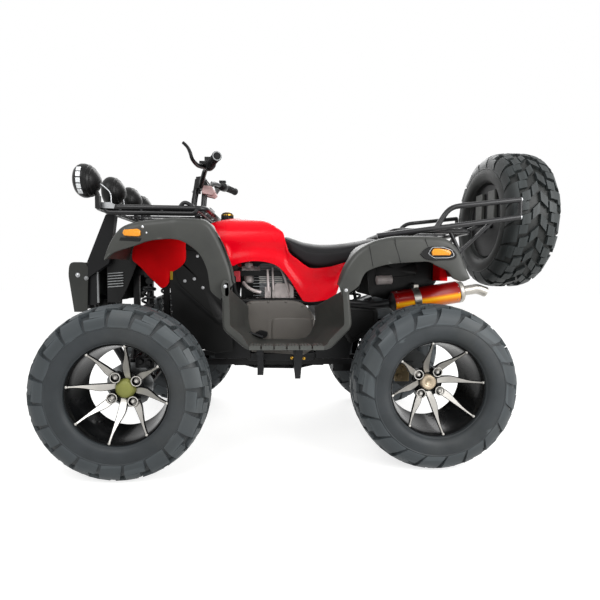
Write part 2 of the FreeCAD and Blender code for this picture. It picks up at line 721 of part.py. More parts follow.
def front_hub():
    """The left front hub: flange against the wheel's disc, barrel and brake disc, bored for the spindle."""
    face = -(FRONT_HUB_FACE_Y - SEAT_GAP)
    disc = HUB_FLANGE + HUB_LENGTH / 2
    length = HUB_FLANGE + HUB_LENGTH
    stations = [(0, HUB_FLANGE_RADIUS), (HUB_FLANGE, HUB_FLANGE_RADIUS), (HUB_FLANGE, HUB_RADIUS),
                (disc, HUB_RADIUS),
                (disc, BRAKE_DISC_RADIUS), (disc + BRAKE_DISC_THICKNESS, BRAKE_DISC_RADIUS),
                (disc + BRAKE_DISC_THICKNESS, HUB_RADIUS), (length, HUB_RADIUS)]
    body = lathe(stations, vec(FRONT_X, face, AXLE_Z), vec(0, 1, 0), BIG_ROUND_SIDES)
    return body.cut(axle_bore(FRONT_X, AXLE_Z, face + HUB_FLANGE / 2, -HUB_END_Y + CUT_OVERRUN, HUB_BORE))


# Steering axis, and the pins that the tie rods join. Both ends of a rod move alike: its pins lie the same
# way from the axes that they turn about.

COLUMN_BOTTOM = vec(FRONT_X + COLUMN_BOTTOM_BACK, 0, COLUMN_BOTTOM_Z)
COLUMN_TOP = vec(FRONT_X + COLUMN_TOP_BACK, 0, COLUMN_TOP_Z)
COLUMN_UP = (COLUMN_TOP - COLUMN_BOTTOM).normalize()
COLUMN_BACK = vec(COLUMN_UP.z, 0, -COLUMN_UP.x)
STEERING_ARM_TOP_Z = AXLE_Z + STEERING_ARM_RISE
KNUCKLE_PIN = vec(FRONT_X + STEERING_ARM, -KINGPIN_Y - PIN_SPREAD, STEERING_ARM_TOP_Z + ROD_END_LIFT)
DROP_PIN = COLUMN_BOTTOM + COLUMN_BACK * STEERING_ARM + vec(0, -PIN_SPREAD, 0)


def knuckle():
    """The left knuckle: upright, spindle, steering arm and its pin."""
    y = -KINGPIN_Y
    half_length = UPRIGHT_LENGTH / 2
    half_arm = STEERING_ARM_WIDTH / 2
    inner_face = -HUB_END_Y + RUNNING_GAP
    post = block(FRONT_X - half_length, FRONT_X + half_length, inner_face, inner_face + UPRIGHT_DEPTH,
                 AXLE_Z - UPRIGHT_HEIGHT / 2, AXLE_Z + UPRIGHT_HEIGHT / 2)
    flange = -(FRONT_HUB_FACE_Y - SEAT_GAP) + HUB_FLANGE / 2
    spindle = axle_bar(FRONT_X, AXLE_Z, flange + RUNNING_GAP, y, HUB_BORE - RUNNING_GAP)
    pin_y = y - PIN_SPREAD
    arm_end = FRONT_X + STEERING_ARM + half_arm
    arm_points = [(FRONT_X, y - half_arm), (arm_end - half_arm, pin_y - half_arm), (arm_end, pin_y),
                  (arm_end, pin_y + half_arm), (FRONT_X, y + half_arm)]
    corners = [vec(px, py, STEERING_ARM_TOP_Z - STEERING_ARM_THICKNESS) for px, py in arm_points]
    arm = flat_face(corners).extrude(vec(0, 0, STEERING_ARM_THICKNESS))
    pin_top = STEERING_ARM_TOP_Z + ROD_END_LIFT + ROD_END_THICKNESS + PIN_OVERRUN
    pin = tube(vec(KNUCKLE_PIN.x, pin_y, STEERING_ARM_TOP_Z - STEERING_ARM_THICKNESS / 2),
               vec(KNUCKLE_PIN.x, pin_y, pin_top), PIN_RADIUS)
    return fuse([post, spindle, arm, pin])


def steering_column():
    """Column, drop arm with two pins, and the handlebar clamp."""
    shaft = tube(COLUMN_BOTTOM - COLUMN_UP * COLUMN_RADIUS, COLUMN_TOP, COLUMN_RADIUS)
    half = STEERING_ARM_WIDTH / 2 + PIN_SPREAD
    back = COLUMN_BACK * (STEERING_ARM + STEERING_ARM_WIDTH / 2)
    corners = [COLUMN_BOTTOM + vec(0, -half / 2, 0), COLUMN_BOTTOM + back + vec(0, -half, 0),
               COLUMN_BOTTOM + back + vec(0, half, 0), COLUMN_BOTTOM + vec(0, half / 2, 0)]
    arm = flat_face(corners).extrude(COLUMN_UP * STEERING_ARM_THICKNESS)
    drop = COLUMN_UP * -(ROD_END_THICKNESS + RUNNING_GAP)
    pins = []
    for side in (LEFT, RIGHT):
        place = COLUMN_BOTTOM + COLUMN_BACK * STEERING_ARM + vec(0, side * PIN_SPREAD, 0)
        pins.append(tube(place + COLUMN_UP * (STEERING_ARM_THICKNESS / 2), place + drop, PIN_RADIUS))
    half_clamp = CLAMP_WIDTH / 2
    clamp = block(COLUMN_TOP.x - half_clamp, COLUMN_TOP.x + half_clamp, -CLAMP_WIDTH, CLAMP_WIDTH,
                  COLUMN_TOP_Z - half_clamp, COLUMN_TOP_Z)
    return fuse([shaft, arm, clamp] + pins)


def tie_rod():
    """The left tie rod: an eye on the drop arm's pin, the rod, and an eye that rides over the knuckle's pin."""
    inner = DROP_PIN - COLUMN_UP * RUNNING_GAP
    inner_eye = tube(inner, inner - COLUMN_UP * ROD_END_THICKNESS, ROD_END_RADIUS)
    outer_eye = tube(KNUCKLE_PIN, KNUCKLE_PIN + vec(0, 0, ROD_END_THICKNESS), ROD_END_RADIUS)
    start = inner - COLUMN_UP * (ROD_END_THICKNESS / 2)
    end = KNUCKLE_PIN + vec(0, 0, ROD_END_THICKNESS / 2)
    along = (end - start).normalize() * (ROD_END_RADIUS / 2)
    rod = tube(start + along, end - along, TIE_ROD_RADIUS)
    body = fuse([inner_eye, outer_eye, rod])
    over = COLUMN_UP * CUT_OVERRUN
    inner_hole = bore(inner + over, inner - COLUMN_UP * ROD_END_THICKNESS - over, PIN_RADIUS + RUNNING_GAP)
    outer_hole = bore(KNUCKLE_PIN - vec(0, 0, CUT_OVERRUN),
                      KNUCKLE_PIN + vec(0, 0, ROD_END_THICKNESS + CUT_OVERRUN), PIN_RADIUS + ROD_END_PLAY)
    return body.cut(inner_hole).cut(outer_hole)


BAR_Z = COLUMN_TOP_Z + HANDLEBAR_RADIUS + SEAT_GAP


def handlebar_points():
    """The bar's bends from its left end to its right end."""
    x = COLUMN_TOP.x
    half = [vec(x + BAR_BACK + BAR_SWEEP, HANDLEBAR_HALF, BAR_Z + BAR_RISE),
            vec(x + BAR_BACK, BAR_BEND_Y, BAR_Z + BAR_RISE), vec(x, BAR_START_Y, BAR_Z)]
    return [vec(p.x, -p.y, p.z) for p in half] + half[::-1]


def handlebar():
    """The bent bar with its cross brace."""
    points = handlebar_points()
    bar = tube_run(points, HANDLEBAR_RADIUS)
    brace = tube(points[1], points[-2], HANDLEBAR_RADIUS / 2)
    return fuse([bar, brace])


def along_grip(distance):
    """A point on the left grip's axis, a distance in from the bar's end."""
    points = handlebar_points()
    return points[0] + (points[1] - points[0]).normalize() * distance


def grips():
    """Two rubber grips over the bar's ends."""
    start = along_grip(-CUT_OVERRUN)
    grip = tube(start, along_grip(GRIP_LENGTH), GRIP_RADIUS)
    core = bore(along_grip(0), along_grip(GRIP_LENGTH + CUT_OVERRUN), HANDLEBAR_RADIUS + SEAT_GAP)
    return pair(grip.cut(core))


def controls():
    """Switch pods round the bar beside each grip with their levers, and the meter above the clamp."""
    start = along_grip(GRIP_LENGTH + SEAT_GAP)
    end = along_grip(GRIP_LENGTH + SEAT_GAP + POD_LENGTH)
    pod = tube(start, end, POD_RADIUS)
    hole = bore(along_grip(GRIP_LENGTH - CUT_OVERRUN), along_grip(GRIP_LENGTH + POD_LENGTH + 2 * CUT_OVERRUN),
                HANDLEBAR_RADIUS + SEAT_GAP)
    middle = (start + end) * (1 / 2)
    knee = middle + vec(-POD_RADIUS - LEVER_RADIUS, 0, POD_RADIUS / 2)
    tip = along_grip(LEVER_RADIUS) + vec(-LEVER_REACH, 0, LEVER_RISE)
    blade = tube_run([middle + vec(-POD_RADIUS / 2 - LEVER_RADIUS, 0, LEVER_RADIUS), knee, tip],
                     LEVER_RADIUS, THIN_SIDES)
    low = BAR_Z + flat(HANDLEBAR_RADIUS) + SEAT_GAP
    front = COLUMN_TOP.x - METER_DEPTH / 2
    outline = [(front, low), (front + METER_DEPTH / 2, low),
               (front + METER_DEPTH / 2 + LEVER_RADIUS, low + METER_HEIGHT / 2),
               (front + METER_DEPTH / 4, low + METER_HEIGHT), (front - LEVER_RADIUS, low + METER_HEIGHT / 2)]
    meter = prism(outline, -METER_HALF, METER_HALF)
    lever = fuse([pod, blade]).cut(hole)
    return group([lever, mirrored(lever), meter])


# Frame

def rail(x_from, x_to, z):
    """A left square rail along the machine."""
    return block(x_from, x_to, -RAIL_INNER, -RAIL_OUTER_Y, z, z + RAIL)


def upright(x, z_from, z_to):
    """A left square upright between the rails."""
    return block(x - RAIL / 2, x + RAIL / 2, -RAIL_INNER, -RAIL_OUTER_Y, z_from, z_to)


def cross(x, z):
    """A square bar between the two rails."""
    return block(x - RAIL / 2, x + RAIL / 2, -RAIL_MIDDLE_Y, RAIL_MIDDLE_Y, z, z + RAIL)


def front_fender_line():
    """The outer edge of the front wings."""
    return spread(FRONT_FENDER_OUTER_SHARES, FRONT_X - FRONT_FENDER_LEAD, FRONT_FENDER_Z, FRONT_FENDER_LENGTH,
                  FRONT_FENDER_HEIGHT)


def rear_fender_line():
    """The outer edge of the rear wings."""
    return spread(REAR_FENDER_OUTER_SHARES, REAR_X - REAR_FENDER_LEAD, REAR_FENDER_Z, REAR_FENDER_LENGTH,
                  REAR_FENDER_HEIGHT)


def under(line, x):
    """The height at X just below a sheet that lies under an outline."""
    return min(height_on(line, x - STAY_RADIUS), height_on(line, x + STAY_RADIUS)) - PANEL - 2 * SEAT_GAP


def frame_side():
    """The left half of the frame."""
    low_top = LOWER_RAIL_Z + RAIL
    pieces = [rail(RAIL_FRONT_X, LOWER_RAIL_REAR_X, LOWER_RAIL_Z),
              rail(RAIL_FRONT_X, UPPER_RAIL_REAR_X, UPPER_RAIL_Z)]
    for x in (FRONT_X - BULKHEAD_HALF, FRONT_X + BULKHEAD_HALF, MID_UPRIGHT_X, REAR_UPRIGHT_X):
        pieces.append(upright(x, low_top - RAIL / 2, UPPER_RAIL_Z + RAIL / 2))
    y = -RAIL_MIDDLE_Y
    root_z = UPPER_RAIL_Z + RAIL / 2
    rack_under = FRONT_RACK_Z - flat(RACK_RADIUS) - SEAT_GAP
    pieces.append(tube(vec(RACK_LEG_X, y, root_z), vec(RACK_LEG_X, y, rack_under), STAY_RADIUS, THIN_SIDES))
    cowl_x = FRONT_X + COWL_POST_BACK
    pieces.append(tube(vec(cowl_x, y, root_z), vec(cowl_x, y, under(front_fender_line(), cowl_x)),
                       STAY_RADIUS, THIN_SIDES))
    stay_x = REAR_X - FENDER_STAY_LEAD
    stay_top = under(rear_fender_line(), stay_x)
    knee_z = (root_z + stay_top) / 2
    pieces.append(tube_run([vec(stay_x, y, root_z), vec(stay_x, -STAY_Y, knee_z),
                            vec(stay_x, -STAY_Y, stay_top)],
                           STAY_RADIUS, THIN_SIDES))
    pieces.append(block(FRONT_X - DAMPER_RADIUS, FRONT_X + DAMPER_RADIUS, y, -SHOCK_HEAD_Y - DAMPER_RADIUS,
                        SHOCK_HEAD_Z + flat(DAMPER_RADIUS) + SEAT_GAP, RAIL_TOP_Z))
    pieces.append(block(PANEL_TAB_X - RAIL / 2, PANEL_TAB_X + RAIL / 2, y, -TANK_HALF + PANEL + SEAT_GAP,
                        root_z, RAIL_TOP_Z))
    floor = FOOT_Z - SEAT_GAP
    for x in (OUTRIGGER_FRONT_X, OUTRIGGER_REAR_X):
        pieces.append(block(x - RAIL / 2, x + RAIL / 2, y, -OUTRIGGER_KNEE_Y - RAIL, LOWER_RAIL_Z, low_top))
        pieces.append(block(x - RAIL / 2, x + RAIL / 2, -OUTRIGGER_KNEE_Y, -OUTRIGGER_KNEE_Y - RAIL,
                            LOWER_RAIL_Z, floor))
        pieces.append(block(x - RAIL / 2, x + RAIL / 2, -OUTRIGGER_KNEE_Y, -OUTRIGGER_END_Y, floor - RAIL,
                            floor))
    half = POST_LENGTH / 2
    post = [(OUTRIGGER_REAR_X - half, floor), (OUTRIGGER_REAR_X + half, floor),
            (OUTRIGGER_REAR_X + half / 2, POST_FOOT_Z), (OUTRIGGER_REAR_X - half / 2, POST_FOOT_Z)]
    pieces.append(prism(post, -OUTRIGGER_KNEE_Y, -OUTRIGGER_KNEE_Y - RAIL))
    return fuse(pieces)


def frame():
    """The whole frame with its cross bars, column bearings and skid sheet."""
    left = frame_side()
    bars = [cross(x, z) for x in (FRONT_X - BULKHEAD_HALF, REAR_UPRIGHT_X) for z in (LOWER_RAIL_Z, UPPER_RAIL_Z)]
    bars.append(cross(UPPER_RAIL_REAR_X - RAIL / 2, UPPER_RAIL_Z))
    bars.append(cross(REAR_SHOCK_HEAD_X, UPPER_RAIL_Z))
    bars.append(cross(COLUMN_BOTTOM.x, LOWER_RAIL_Z))
    column_end = COLUMN_BOTTOM - COLUMN_UP * (COLUMN_RADIUS + SEAT_GAP)
    bars.append(tube(column_end, column_end - COLUMN_UP * BEARING_LENGTH, BEARING_RADIUS))
    crossing = COLUMN_BOTTOM + COLUMN_UP * ((UPPER_RAIL_Z + RAIL / 2 - COLUMN_BOTTOM_Z) / COLUMN_UP.z)
    bars.append(cross(crossing.x, UPPER_RAIL_Z))
    reach = COLUMN_UP * (BEARING_LENGTH / 2)
    bars.append(tube(crossing - reach, crossing + reach, BEARING_RADIUS + PANEL))
    skid = prism(strip(spread(SKID_SHARES, SKID_X, LOWER_RAIL_Z - SKID_DROP, SKID_LENGTH, SKID_DROP), -PANEL),
                 -SKID_HALF, SKID_HALF)
    hole = bore(crossing - reach * 2, crossing + reach * 2, COLUMN_RADIUS + RUNNING_GAP)
    return fuse([left, mirrored(left), skid] + bars).cut(hole)


BUSH_Y = RAIL_OUTER_Y + flat(BUSH_RADIUS) + SEAT_GAP


def a_arm(z_inner, ball_z):
    """A left A-arm: two bushes at the frame, two tubes that meet at the ball joint."""
    ball = vec(FRONT_X, -KINGPIN_Y, ball_z)
    end = ball + vec(0, 0, math.copysign(BALL_JOINT_HEIGHT / 2 - ARM_RADIUS, ball_z - AXLE_Z))
    pieces = [tube(ball - vec(0, 0, BALL_JOINT_HEIGHT / 2), ball + vec(0, 0, BALL_JOINT_HEIGHT / 2),
                   BALL_JOINT_RADIUS)]
    for side in (-1, 1):
        x = FRONT_X + side * BULKHEAD_HALF
        root = vec(x, -BUSH_Y, z_inner)
        pieces.append(tube(root - vec(BUSH_LENGTH / 2, 0, 0), root + vec(BUSH_LENGTH / 2, 0, 0), BUSH_RADIUS))
        pieces.append(tube(root, end, ARM_RADIUS, THIN_SIDES))
    return fuse(pieces)


SHOCK_SHARE = (SHOCK_FOOT_Y - BUSH_Y) / (KINGPIN_Y - BUSH_Y)
LOWER_ARM_END_Z = BALL_LOW_Z - (BALL_JOINT_HEIGHT / 2 - ARM_RADIUS)
SHOCK_SEAT_Z = LOWER_ARM_Z + SHOCK_SHARE * (LOWER_ARM_END_Z - LOWER_ARM_Z) + ARM_RADIUS


def lower_arm():
    """A left lower A-arm with the seat of its shock absorber."""
    half = BULKHEAD_HALF * (1 - SHOCK_SHARE) + ARM_RADIUS / 2
    seat_bar = block(FRONT_X - half, FRONT_X + half, -SHOCK_FOOT_Y - DAMPER_RADIUS,
                     -SHOCK_FOOT_Y + DAMPER_RADIUS,
                     SHOCK_SEAT_Z - 2 * ARM_RADIUS, SHOCK_SEAT_Z)
    return fuse([a_arm(LOWER_ARM_Z, BALL_LOW_Z), seat_bar])


def suspension_arms():
    """Both lower and both upper A-arms."""
    arms = [lower_arm(), a_arm(UPPER_ARM_Z, BALL_HIGH_Z)]
    return group(arms + [mirrored(arm) for arm in arms])


def shock(foot, head):
    """A coil spring over its damper, from its lower eye to its upper eye."""
    length = (head - foot).Length
    eye = DAMPER_RADIUS
    spring_start = eye * 2
    spring_end = length - eye
    pitch = (spring_end - spring_start) / SPRING_COILS
    stations = [(eye / 2, DAMPER_RADIUS / 2), (spring_start, DAMPER_RADIUS)]
    for index in range(SPRING_COILS):
        stations.append((spring_start + (index + 1 / 2) * pitch, SPRING_RADIUS))
        stations.append((spring_start + (index + 1) * pitch, DAMPER_RADIUS))
    stations.append((length - eye / 2, DAMPER_RADIUS / 2))
    direction = (head - foot).normalize()
    body = lathe(stations, foot, direction, THIN_SIDES)
    ends = []
    for point in (foot, head):
        ends.append(tube(point - vec(DAMPER_RADIUS, 0, 0), point + vec(DAMPER_RADIUS, 0, 0), eye))
    return fuse([body] + ends)


def front_shocks():
    """Both front shock absorbers, from the lower arms up to the upper rails."""
    foot = vec(FRONT_X, -SHOCK_FOOT_Y, SHOCK_SEAT_Z + flat(DAMPER_RADIUS) + SEAT_GAP)
    head = vec(FRONT_X, -SHOCK_HEAD_Y, SHOCK_HEAD_Z)
    return pair(shock(foot, head))


# Rear end

def swingarm():
    """Two square arms from the pivot to the axle carrier, which holds the axle in its bore."""
    pieces = []
    for side in (LEFT, RIGHT):
        y_in = side * SWINGARM_INNER
        y_out = side * (SWINGARM_INNER + SWINGARM_WIDTH)
        pieces.append(block(REAR_UPRIGHT_X + RAIL, REAR_X, y_in, y_out, AXLE_Z - SWINGARM_HEIGHT / 2,
                            AXLE_Z + SWINGARM_HEIGHT / 2))
    pivot_x = REAR_UPRIGHT_X + RAIL + SWINGARM_HEIGHT / 2
    pieces.append(axle_bar(pivot_x, AXLE_Z, -RAIL_INNER + SEAT_GAP, RAIL_INNER - SEAT_GAP, SWINGARM_HEIGHT / 2))
    pieces.append(axle_bar(REAR_X, AXLE_Z, -CARRIER_HALF, CARRIER_HALF, CARRIER_RADIUS))
    hole = axle_bore(REAR_X, AXLE_Z, -CARRIER_HALF - CUT_OVERRUN, CARRIER_HALF + CUT_OVERRUN,
                     AXLE_RADIUS + RUNNING_GAP)
    shelf_z = AXLE_Z + SWINGARM_HEIGHT / 2
    pieces.append(block(REAR_SHOCK_FOOT_X - RAIL, REAR_SHOCK_FOOT_X + RAIL, -SWINGARM_INNER - SWINGARM_WIDTH / 2,
                        SWINGARM_INNER + SWINGARM_WIDTH / 2, shelf_z - RAIL, shelf_z))
    return fuse(pieces).cut(hole)


def rear_shock():
    """The single rear shock absorber, from the swingarm's shelf to a cross bar."""
    foot = vec(REAR_SHOCK_FOOT_X, 0, AXLE_Z + SWINGARM_HEIGHT / 2 + flat(DAMPER_RADIUS) + SEAT_GAP)
    head = vec(REAR_SHOCK_HEAD_X, 0, UPPER_RAIL_Z - flat(DAMPER_RADIUS) - SEAT_GAP)
    return shock(foot, head)


def rear_axle():
    """The axle with wheel hubs, sprocket and brake disc."""
    end_y = REAR_HUB_FACE_Y - SEAT_GAP
    pieces = [axle_bar(REAR_X, AXLE_Z, -end_y, end_y, AXLE_RADIUS, BIG_ROUND_SIDES)]
    for side in (LEFT, RIGHT):
        pieces.append(axle_bar(REAR_X, AXLE_Z, side * end_y, side * (end_y - HUB_FLANGE), HUB_FLANGE_RADIUS))
        pieces.append(axle_bar(REAR_X, AXLE_Z, side * (end_y - HUB_FLANGE),
                               side * (end_y - HUB_FLANGE - HUB_LENGTH),
                               HUB_RADIUS))
    for y, radius in ((SPROCKET_Y, SPROCKET_RADIUS), (REAR_DISC_Y, REAR_DISC_RADIUS)):
        pieces.append(axle_bar(REAR_X, AXLE_Z, y - SPROCKET_THICKNESS / 2, y + SPROCKET_THICKNESS / 2, radius,
                               BIG_ROUND_SIDES))
        pieces.append(axle_bar(REAR_X, AXLE_Z, y - HUB_LENGTH / 2, y + HUB_LENGTH / 2, HUB_RADIUS))
    return fuse(pieces)


def chain_loop(front_gap, rear_gap, half_width):
    """The space inside a belt line round both sprockets, at a distance from each."""
    y_from = SPROCKET_Y - half_width
    y_to = SPROCKET_Y + half_width
    front = vec(DRIVE_SPROCKET_X, 0, DRIVE_SPROCKET_Z)
    rear = vec(REAR_X, 0, AXLE_Z)
    gap = rear - front
    big = SPROCKET_RADIUS + rear_gap
    small = DRIVE_SPROCKET_RADIUS + front_gap
    lean = math.asin((big - small) / gap.Length)
    base = math.atan2(gap.z, gap.x)
    corners = []
    for centre, radius in ((front, small), (rear, big)):
        for sign in (1, -1):
            angle = base + sign * (math.pi / 2 + lean)
            corners.append((centre.x + radius * math.cos(angle), centre.z + radius * math.sin(angle)))
    web = prism([corners[0], corners[2], corners[3], corners[1]], y_from, y_to)
    ends = [bore(vec(p.x, y_from, p.z), vec(p.x, y_to, p.z), radius, BIG_ROUND_SIDES)
            for p, radius in ((front, small), (rear, big))]
    return fuse([web] + ends)


def chain():
    """The drive chain as one loop round both sprockets."""
    inside = chain_loop(SEAT_GAP, CHAIN_GAP, CHAIN_WIDTH / 2 + CUT_OVERRUN)
    return chain_loop(SEAT_GAP + CHAIN_THICKNESS, CHAIN_GAP + CHAIN_THICKNESS, CHAIN_WIDTH / 2).cut(inside)


# Engine and exhaust

def crankcase():
    """The crankcase block, its side cover with a raised boss, its feet, and the drive shaft with its sprocket."""
    x_to = CRANKCASE_FRONT_X + CRANKCASE_LENGTH
    height = CRANKCASE_TOP_Z - CRANKCASE_BOTTOM_Z
    right_face = CRANKCASE_HALF - COVER_DEPTH
    outline = spread(COVER_SHARES, CRANKCASE_FRONT_X, CRANKCASE_BOTTOM_Z, CRANKCASE_LENGTH, height)
    body = prism(outline, -CRANKCASE_HALF, right_face)
    margin = COVER_DEPTH / 2
    small = spread(COVER_SHARES, CRANKCASE_FRONT_X + margin, CRANKCASE_BOTTOM_Z + 2 * margin,
                   CRANKCASE_LENGTH - 2 * margin, height - 3 * margin)
    cover_face = -CRANKCASE_HALF - COVER_DEPTH
    cover = prism(small, -CRANKCASE_HALF, cover_face)
    raised = spread(BOSS_SHARES, CRANKCASE_FRONT_X, CRANKCASE_BOTTOM_Z, CRANKCASE_LENGTH, height)
    boss = prism(raised, cover_face + BOSS_DEPTH,
                 cover_face - BOSS_DEPTH).common(prism(small, 0, 2 * cover_face))
    feet = []
    for side in (LEFT, RIGHT):
        for x in (CRANKCASE_FRONT_X + 2 * RAIL, x_to - 3 * RAIL):
            y = side * min(RAIL_MIDDLE_Y, right_face - RAIL / 2)
            feet.append(block(x, x + RAIL, y - RAIL / 2, y + RAIL / 2, LOWER_RAIL_Z + RAIL + SEAT_GAP,
                              CRANKCASE_BOTTOM_Z + RAIL))
    shaft = axle_bar(DRIVE_SPROCKET_X, DRIVE_SPROCKET_Z, right_face - COVER_DEPTH, SPROCKET_Y,
                     DRIVE_SHAFT_RADIUS)
    sprocket = axle_bar(DRIVE_SPROCKET_X, DRIVE_SPROCKET_Z, SPROCKET_Y - SPROCKET_THICKNESS / 2,
                        SPROCKET_Y + SPROCKET_THICKNESS / 2, DRIVE_SPROCKET_RADIUS)
    return fuse([body, cover, boss, shaft, sprocket] + feet)


def foot_levers():
    """The gear lever at the crankcase's cover and the brake lever on its right side, each with its pad."""
    left = -CRANKCASE_HALF - COVER_DEPTH - SEAT_GAP
    right = CRANKCASE_HALF - COVER_DEPTH + SEAT_GAP
    levers = []
    for side, face in ((LEFT, left), (RIGHT, right)):
        y = side * FOOT_LEVER_Y
        tip = vec(LEVER_SHAFT_X - FOOT_LEVER_REACH, y, LEVER_SHAFT_Z + FOOT_LEVER_RISE)
        arm = tube_run([vec(LEVER_SHAFT_X, face, LEVER_SHAFT_Z), vec(LEVER_SHAFT_X, y, LEVER_SHAFT_Z), tip],
                       LEVER_RADIUS, THIN_SIDES)
        half = FOOT_LEVER_PAD / 2
        pad = block(tip.x - half, tip.x, y - half, y + half, tip.z - LEVER_RADIUS, tip.z + LEVER_RADIUS)
        levers.append(fuse([arm, pad]))
    return group(levers)


def cylinder():
    """The finned barrel and head, and the carburettor at its front with its bowl and slide cap."""
    low = CRANKCASE_TOP_Z + SEAT_GAP
    high = low + CYLINDER_HEIGHT + HEAD_HEIGHT
    core_half = CYLINDER_HALF - FIN_DEPTH
    x_to = CYLINDER_X + CYLINDER_LENGTH
    core = block(CYLINDER_X + FIN_DEPTH, x_to - FIN_DEPTH, -core_half, core_half, low, high)
    fins = []
    pitch = CYLINDER_HEIGHT / FIN_COUNT
    for index in range(FIN_COUNT):
        z = low + (index + 1 / 2) * pitch
        fins.append(block(CYLINDER_X, x_to, -CYLINDER_HALF, CYLINDER_HALF, z, z + FIN_THICKNESS))
    head = block(CYLINDER_X + FIN_DEPTH / 2, x_to - FIN_DEPTH / 2, -CYLINDER_HALF + FIN_DEPTH / 2,
                 CYLINDER_HALF - FIN_DEPTH / 2, high - HEAD_HEIGHT, high)
    middle = low + CYLINDER_HEIGHT * 3 / 4
    throat_end = CYLINDER_X - CARBURETTOR_LENGTH
    throat = tube(vec(CYLINDER_X + FIN_DEPTH, CARBURETTOR_Y, middle), vec(throat_end, CARBURETTOR_Y, middle),
                  CARBURETTOR_RADIUS)
    body_x = CYLINDER_X - CARBURETTOR_LENGTH / 2
    bowl = tube(vec(body_x, CARBURETTOR_Y, middle - 2 * CARBURETTOR_RADIUS), vec(body_x, CARBURETTOR_Y, middle),
                CARBURETTOR_RADIUS)
    cap = tube(vec(body_x, CARBURETTOR_Y, middle), vec(body_x, CARBURETTOR_Y, middle + 2 * CARBURETTOR_RADIUS),
               CARBURETTOR_RADIUS * 2 / 3)
    return fuse([core, head, throat, bowl, cap] + fins)


MUFFLER_FRONT = vec(REAR_X - MUFFLER_LEAD, MUFFLER_Y, MUFFLER_FRONT_Z)
MUFFLER_REAR = MUFFLER_FRONT + vec(MUFFLER_LENGTH, 0, MUFFLER_RISE)
MUFFLER_WAY = (MUFFLER_REAR - MUFFLER_FRONT).normalize()


def exhaust_pipe():
    """The pipe from the head's front, down to the left of the cylinder and back to the silencer's inlet."""
    port_z = CRANKCASE_TOP_Z + CYLINDER_HEIGHT + EXHAUST_RADIUS + FIN_THICKNESS
    head_front = CYLINDER_X + FIN_DEPTH / 2 - SEAT_GAP
    inlet = MUFFLER_FRONT - MUFFLER_WAY * (2 * SEAT_GAP)
    points = [vec(head_front, EXHAUST_RADIUS, port_z), vec(EXHAUST_FRONT_X, EXHAUST_RADIUS, port_z),
              vec(EXHAUST_FRONT_X, EXHAUST_Y, EXHAUST_Z), vec(REAR_UPRIGHT_X, EXHAUST_Y, EXHAUST_Z),
              inlet - MUFFLER_WAY * (3 * EXHAUST_RADIUS), inlet]
    return tube_run(cut_corners(points, 2 * EXHAUST_RADIUS), EXHAUST_RADIUS)


def muffler():
    """The silencer's body."""
    start = MUFFLER_FRONT + MUFFLER_WAY * MUFFLER_CAP
    return tube(start, MUFFLER_REAR - MUFFLER_WAY * MUFFLER_CAP, MUFFLER_RADIUS, BIG_ROUND_SIDES)


def muffler_strap():
    """The clamp round the silencer and its hanger up to the rail."""
    centre = MUFFLER_FRONT + MUFFLER_WAY * STRAP_BACK
    ends = (centre - MUFFLER_WAY * (STRAP_WIDTH / 2), centre + MUFFLER_WAY * (STRAP_WIDTH / 2))
    band = tube(ends[0], ends[1], MUFFLER_RADIUS + STRAP_THICKNESS + SEAT_GAP, BIG_ROUND_SIDES)
    reach = MUFFLER_WAY * STRAP_WIDTH
    inner = bore(ends[0] - reach, ends[1] + reach, MUFFLER_RADIUS + SEAT_GAP, BIG_ROUND_SIDES)
    top = centre.z + MUFFLER_RADIUS
    low_z = UPPER_RAIL_Z - STRAP_WIDTH
    hanger = end_prism([(MUFFLER_Y - STRAP_WIDTH / 2, top), (MUFFLER_Y + STRAP_WIDTH / 2, top),
                        (-RAIL_OUTER_Y + STRAP_WIDTH / 2, low_z), (-RAIL_INNER, low_z),
                        (-RAIL_INNER, UPPER_RAIL_Z - SEAT_GAP), (-RAIL_OUTER_Y, UPPER_RAIL_Z - SEAT_GAP),
                        (MUFFLER_Y - STRAP_WIDTH / 2, top + STRAP_WIDTH / 2)],
                       centre.x - STRAP_WIDTH / 2, centre.x + STRAP_WIDTH / 2)
    return fuse([band, hanger]).cut(inner)


def muffler_ends():
    """The end caps, the inlet, the tail pipe and the strap."""
    start = MUFFLER_FRONT + MUFFLER_WAY * (MUFFLER_CAP - SEAT_GAP)
    front = lathe([(0, MUFFLER_RADIUS), (MUFFLER_CAP, EXHAUST_RADIUS)], start, MUFFLER_WAY * -1, BIG_ROUND_SIDES)
    end = MUFFLER_REAR - MUFFLER_WAY * (MUFFLER_CAP - SEAT_GAP)
    rear = tube(end, MUFFLER_REAR, MUFFLER_RADIUS, BIG_ROUND_SIDES)
    tip = tube_run([MUFFLER_REAR - MUFFLER_WAY, MUFFLER_REAR + MUFFLER_WAY * (3 * MUFFLER_CAP),
                    MUFFLER_REAR + MUFFLER_WAY * (5 * MUFFLER_CAP) - vec(0, 0, MUFFLER_CAP)], TAIL_PIPE_RADIUS)
    return group([front, fuse([rear, tip]), muffler_strap()])


# Plastics

def fender_side(outer, inner, y_in):
    """A left wing: a band down its outer edge and a sheet over the top."""
    band = prism(outer + inner[::-1], -FENDER_OUT, -FENDER_OUT + PANEL)
    sheet = prism(strip(outer, -PANEL), -FENDER_OUT, -y_in)
    return fuse([band, sheet])


def front_fenders():
    """Both front wings and the cowl between them, ahead of the steering column."""
    outer = front_fender_line()
    inner = spread(FRONT_FENDER_INNER_SHARES, FRONT_X - FRONT_FENDER_LEAD, FRONT_FENDER_Z, FRONT_FENDER_LENGTH,
                   FRONT_FENDER_HEIGHT)
    left = fender_side(outer, inner, TANK_HALF + SEAT_GAP)
    cowl = prism(strip(outer[3:6], -PANEL), -TANK_HALF - PANEL, TANK_HALF + PANEL)
    return fuse([left, mirrored(left), cowl])


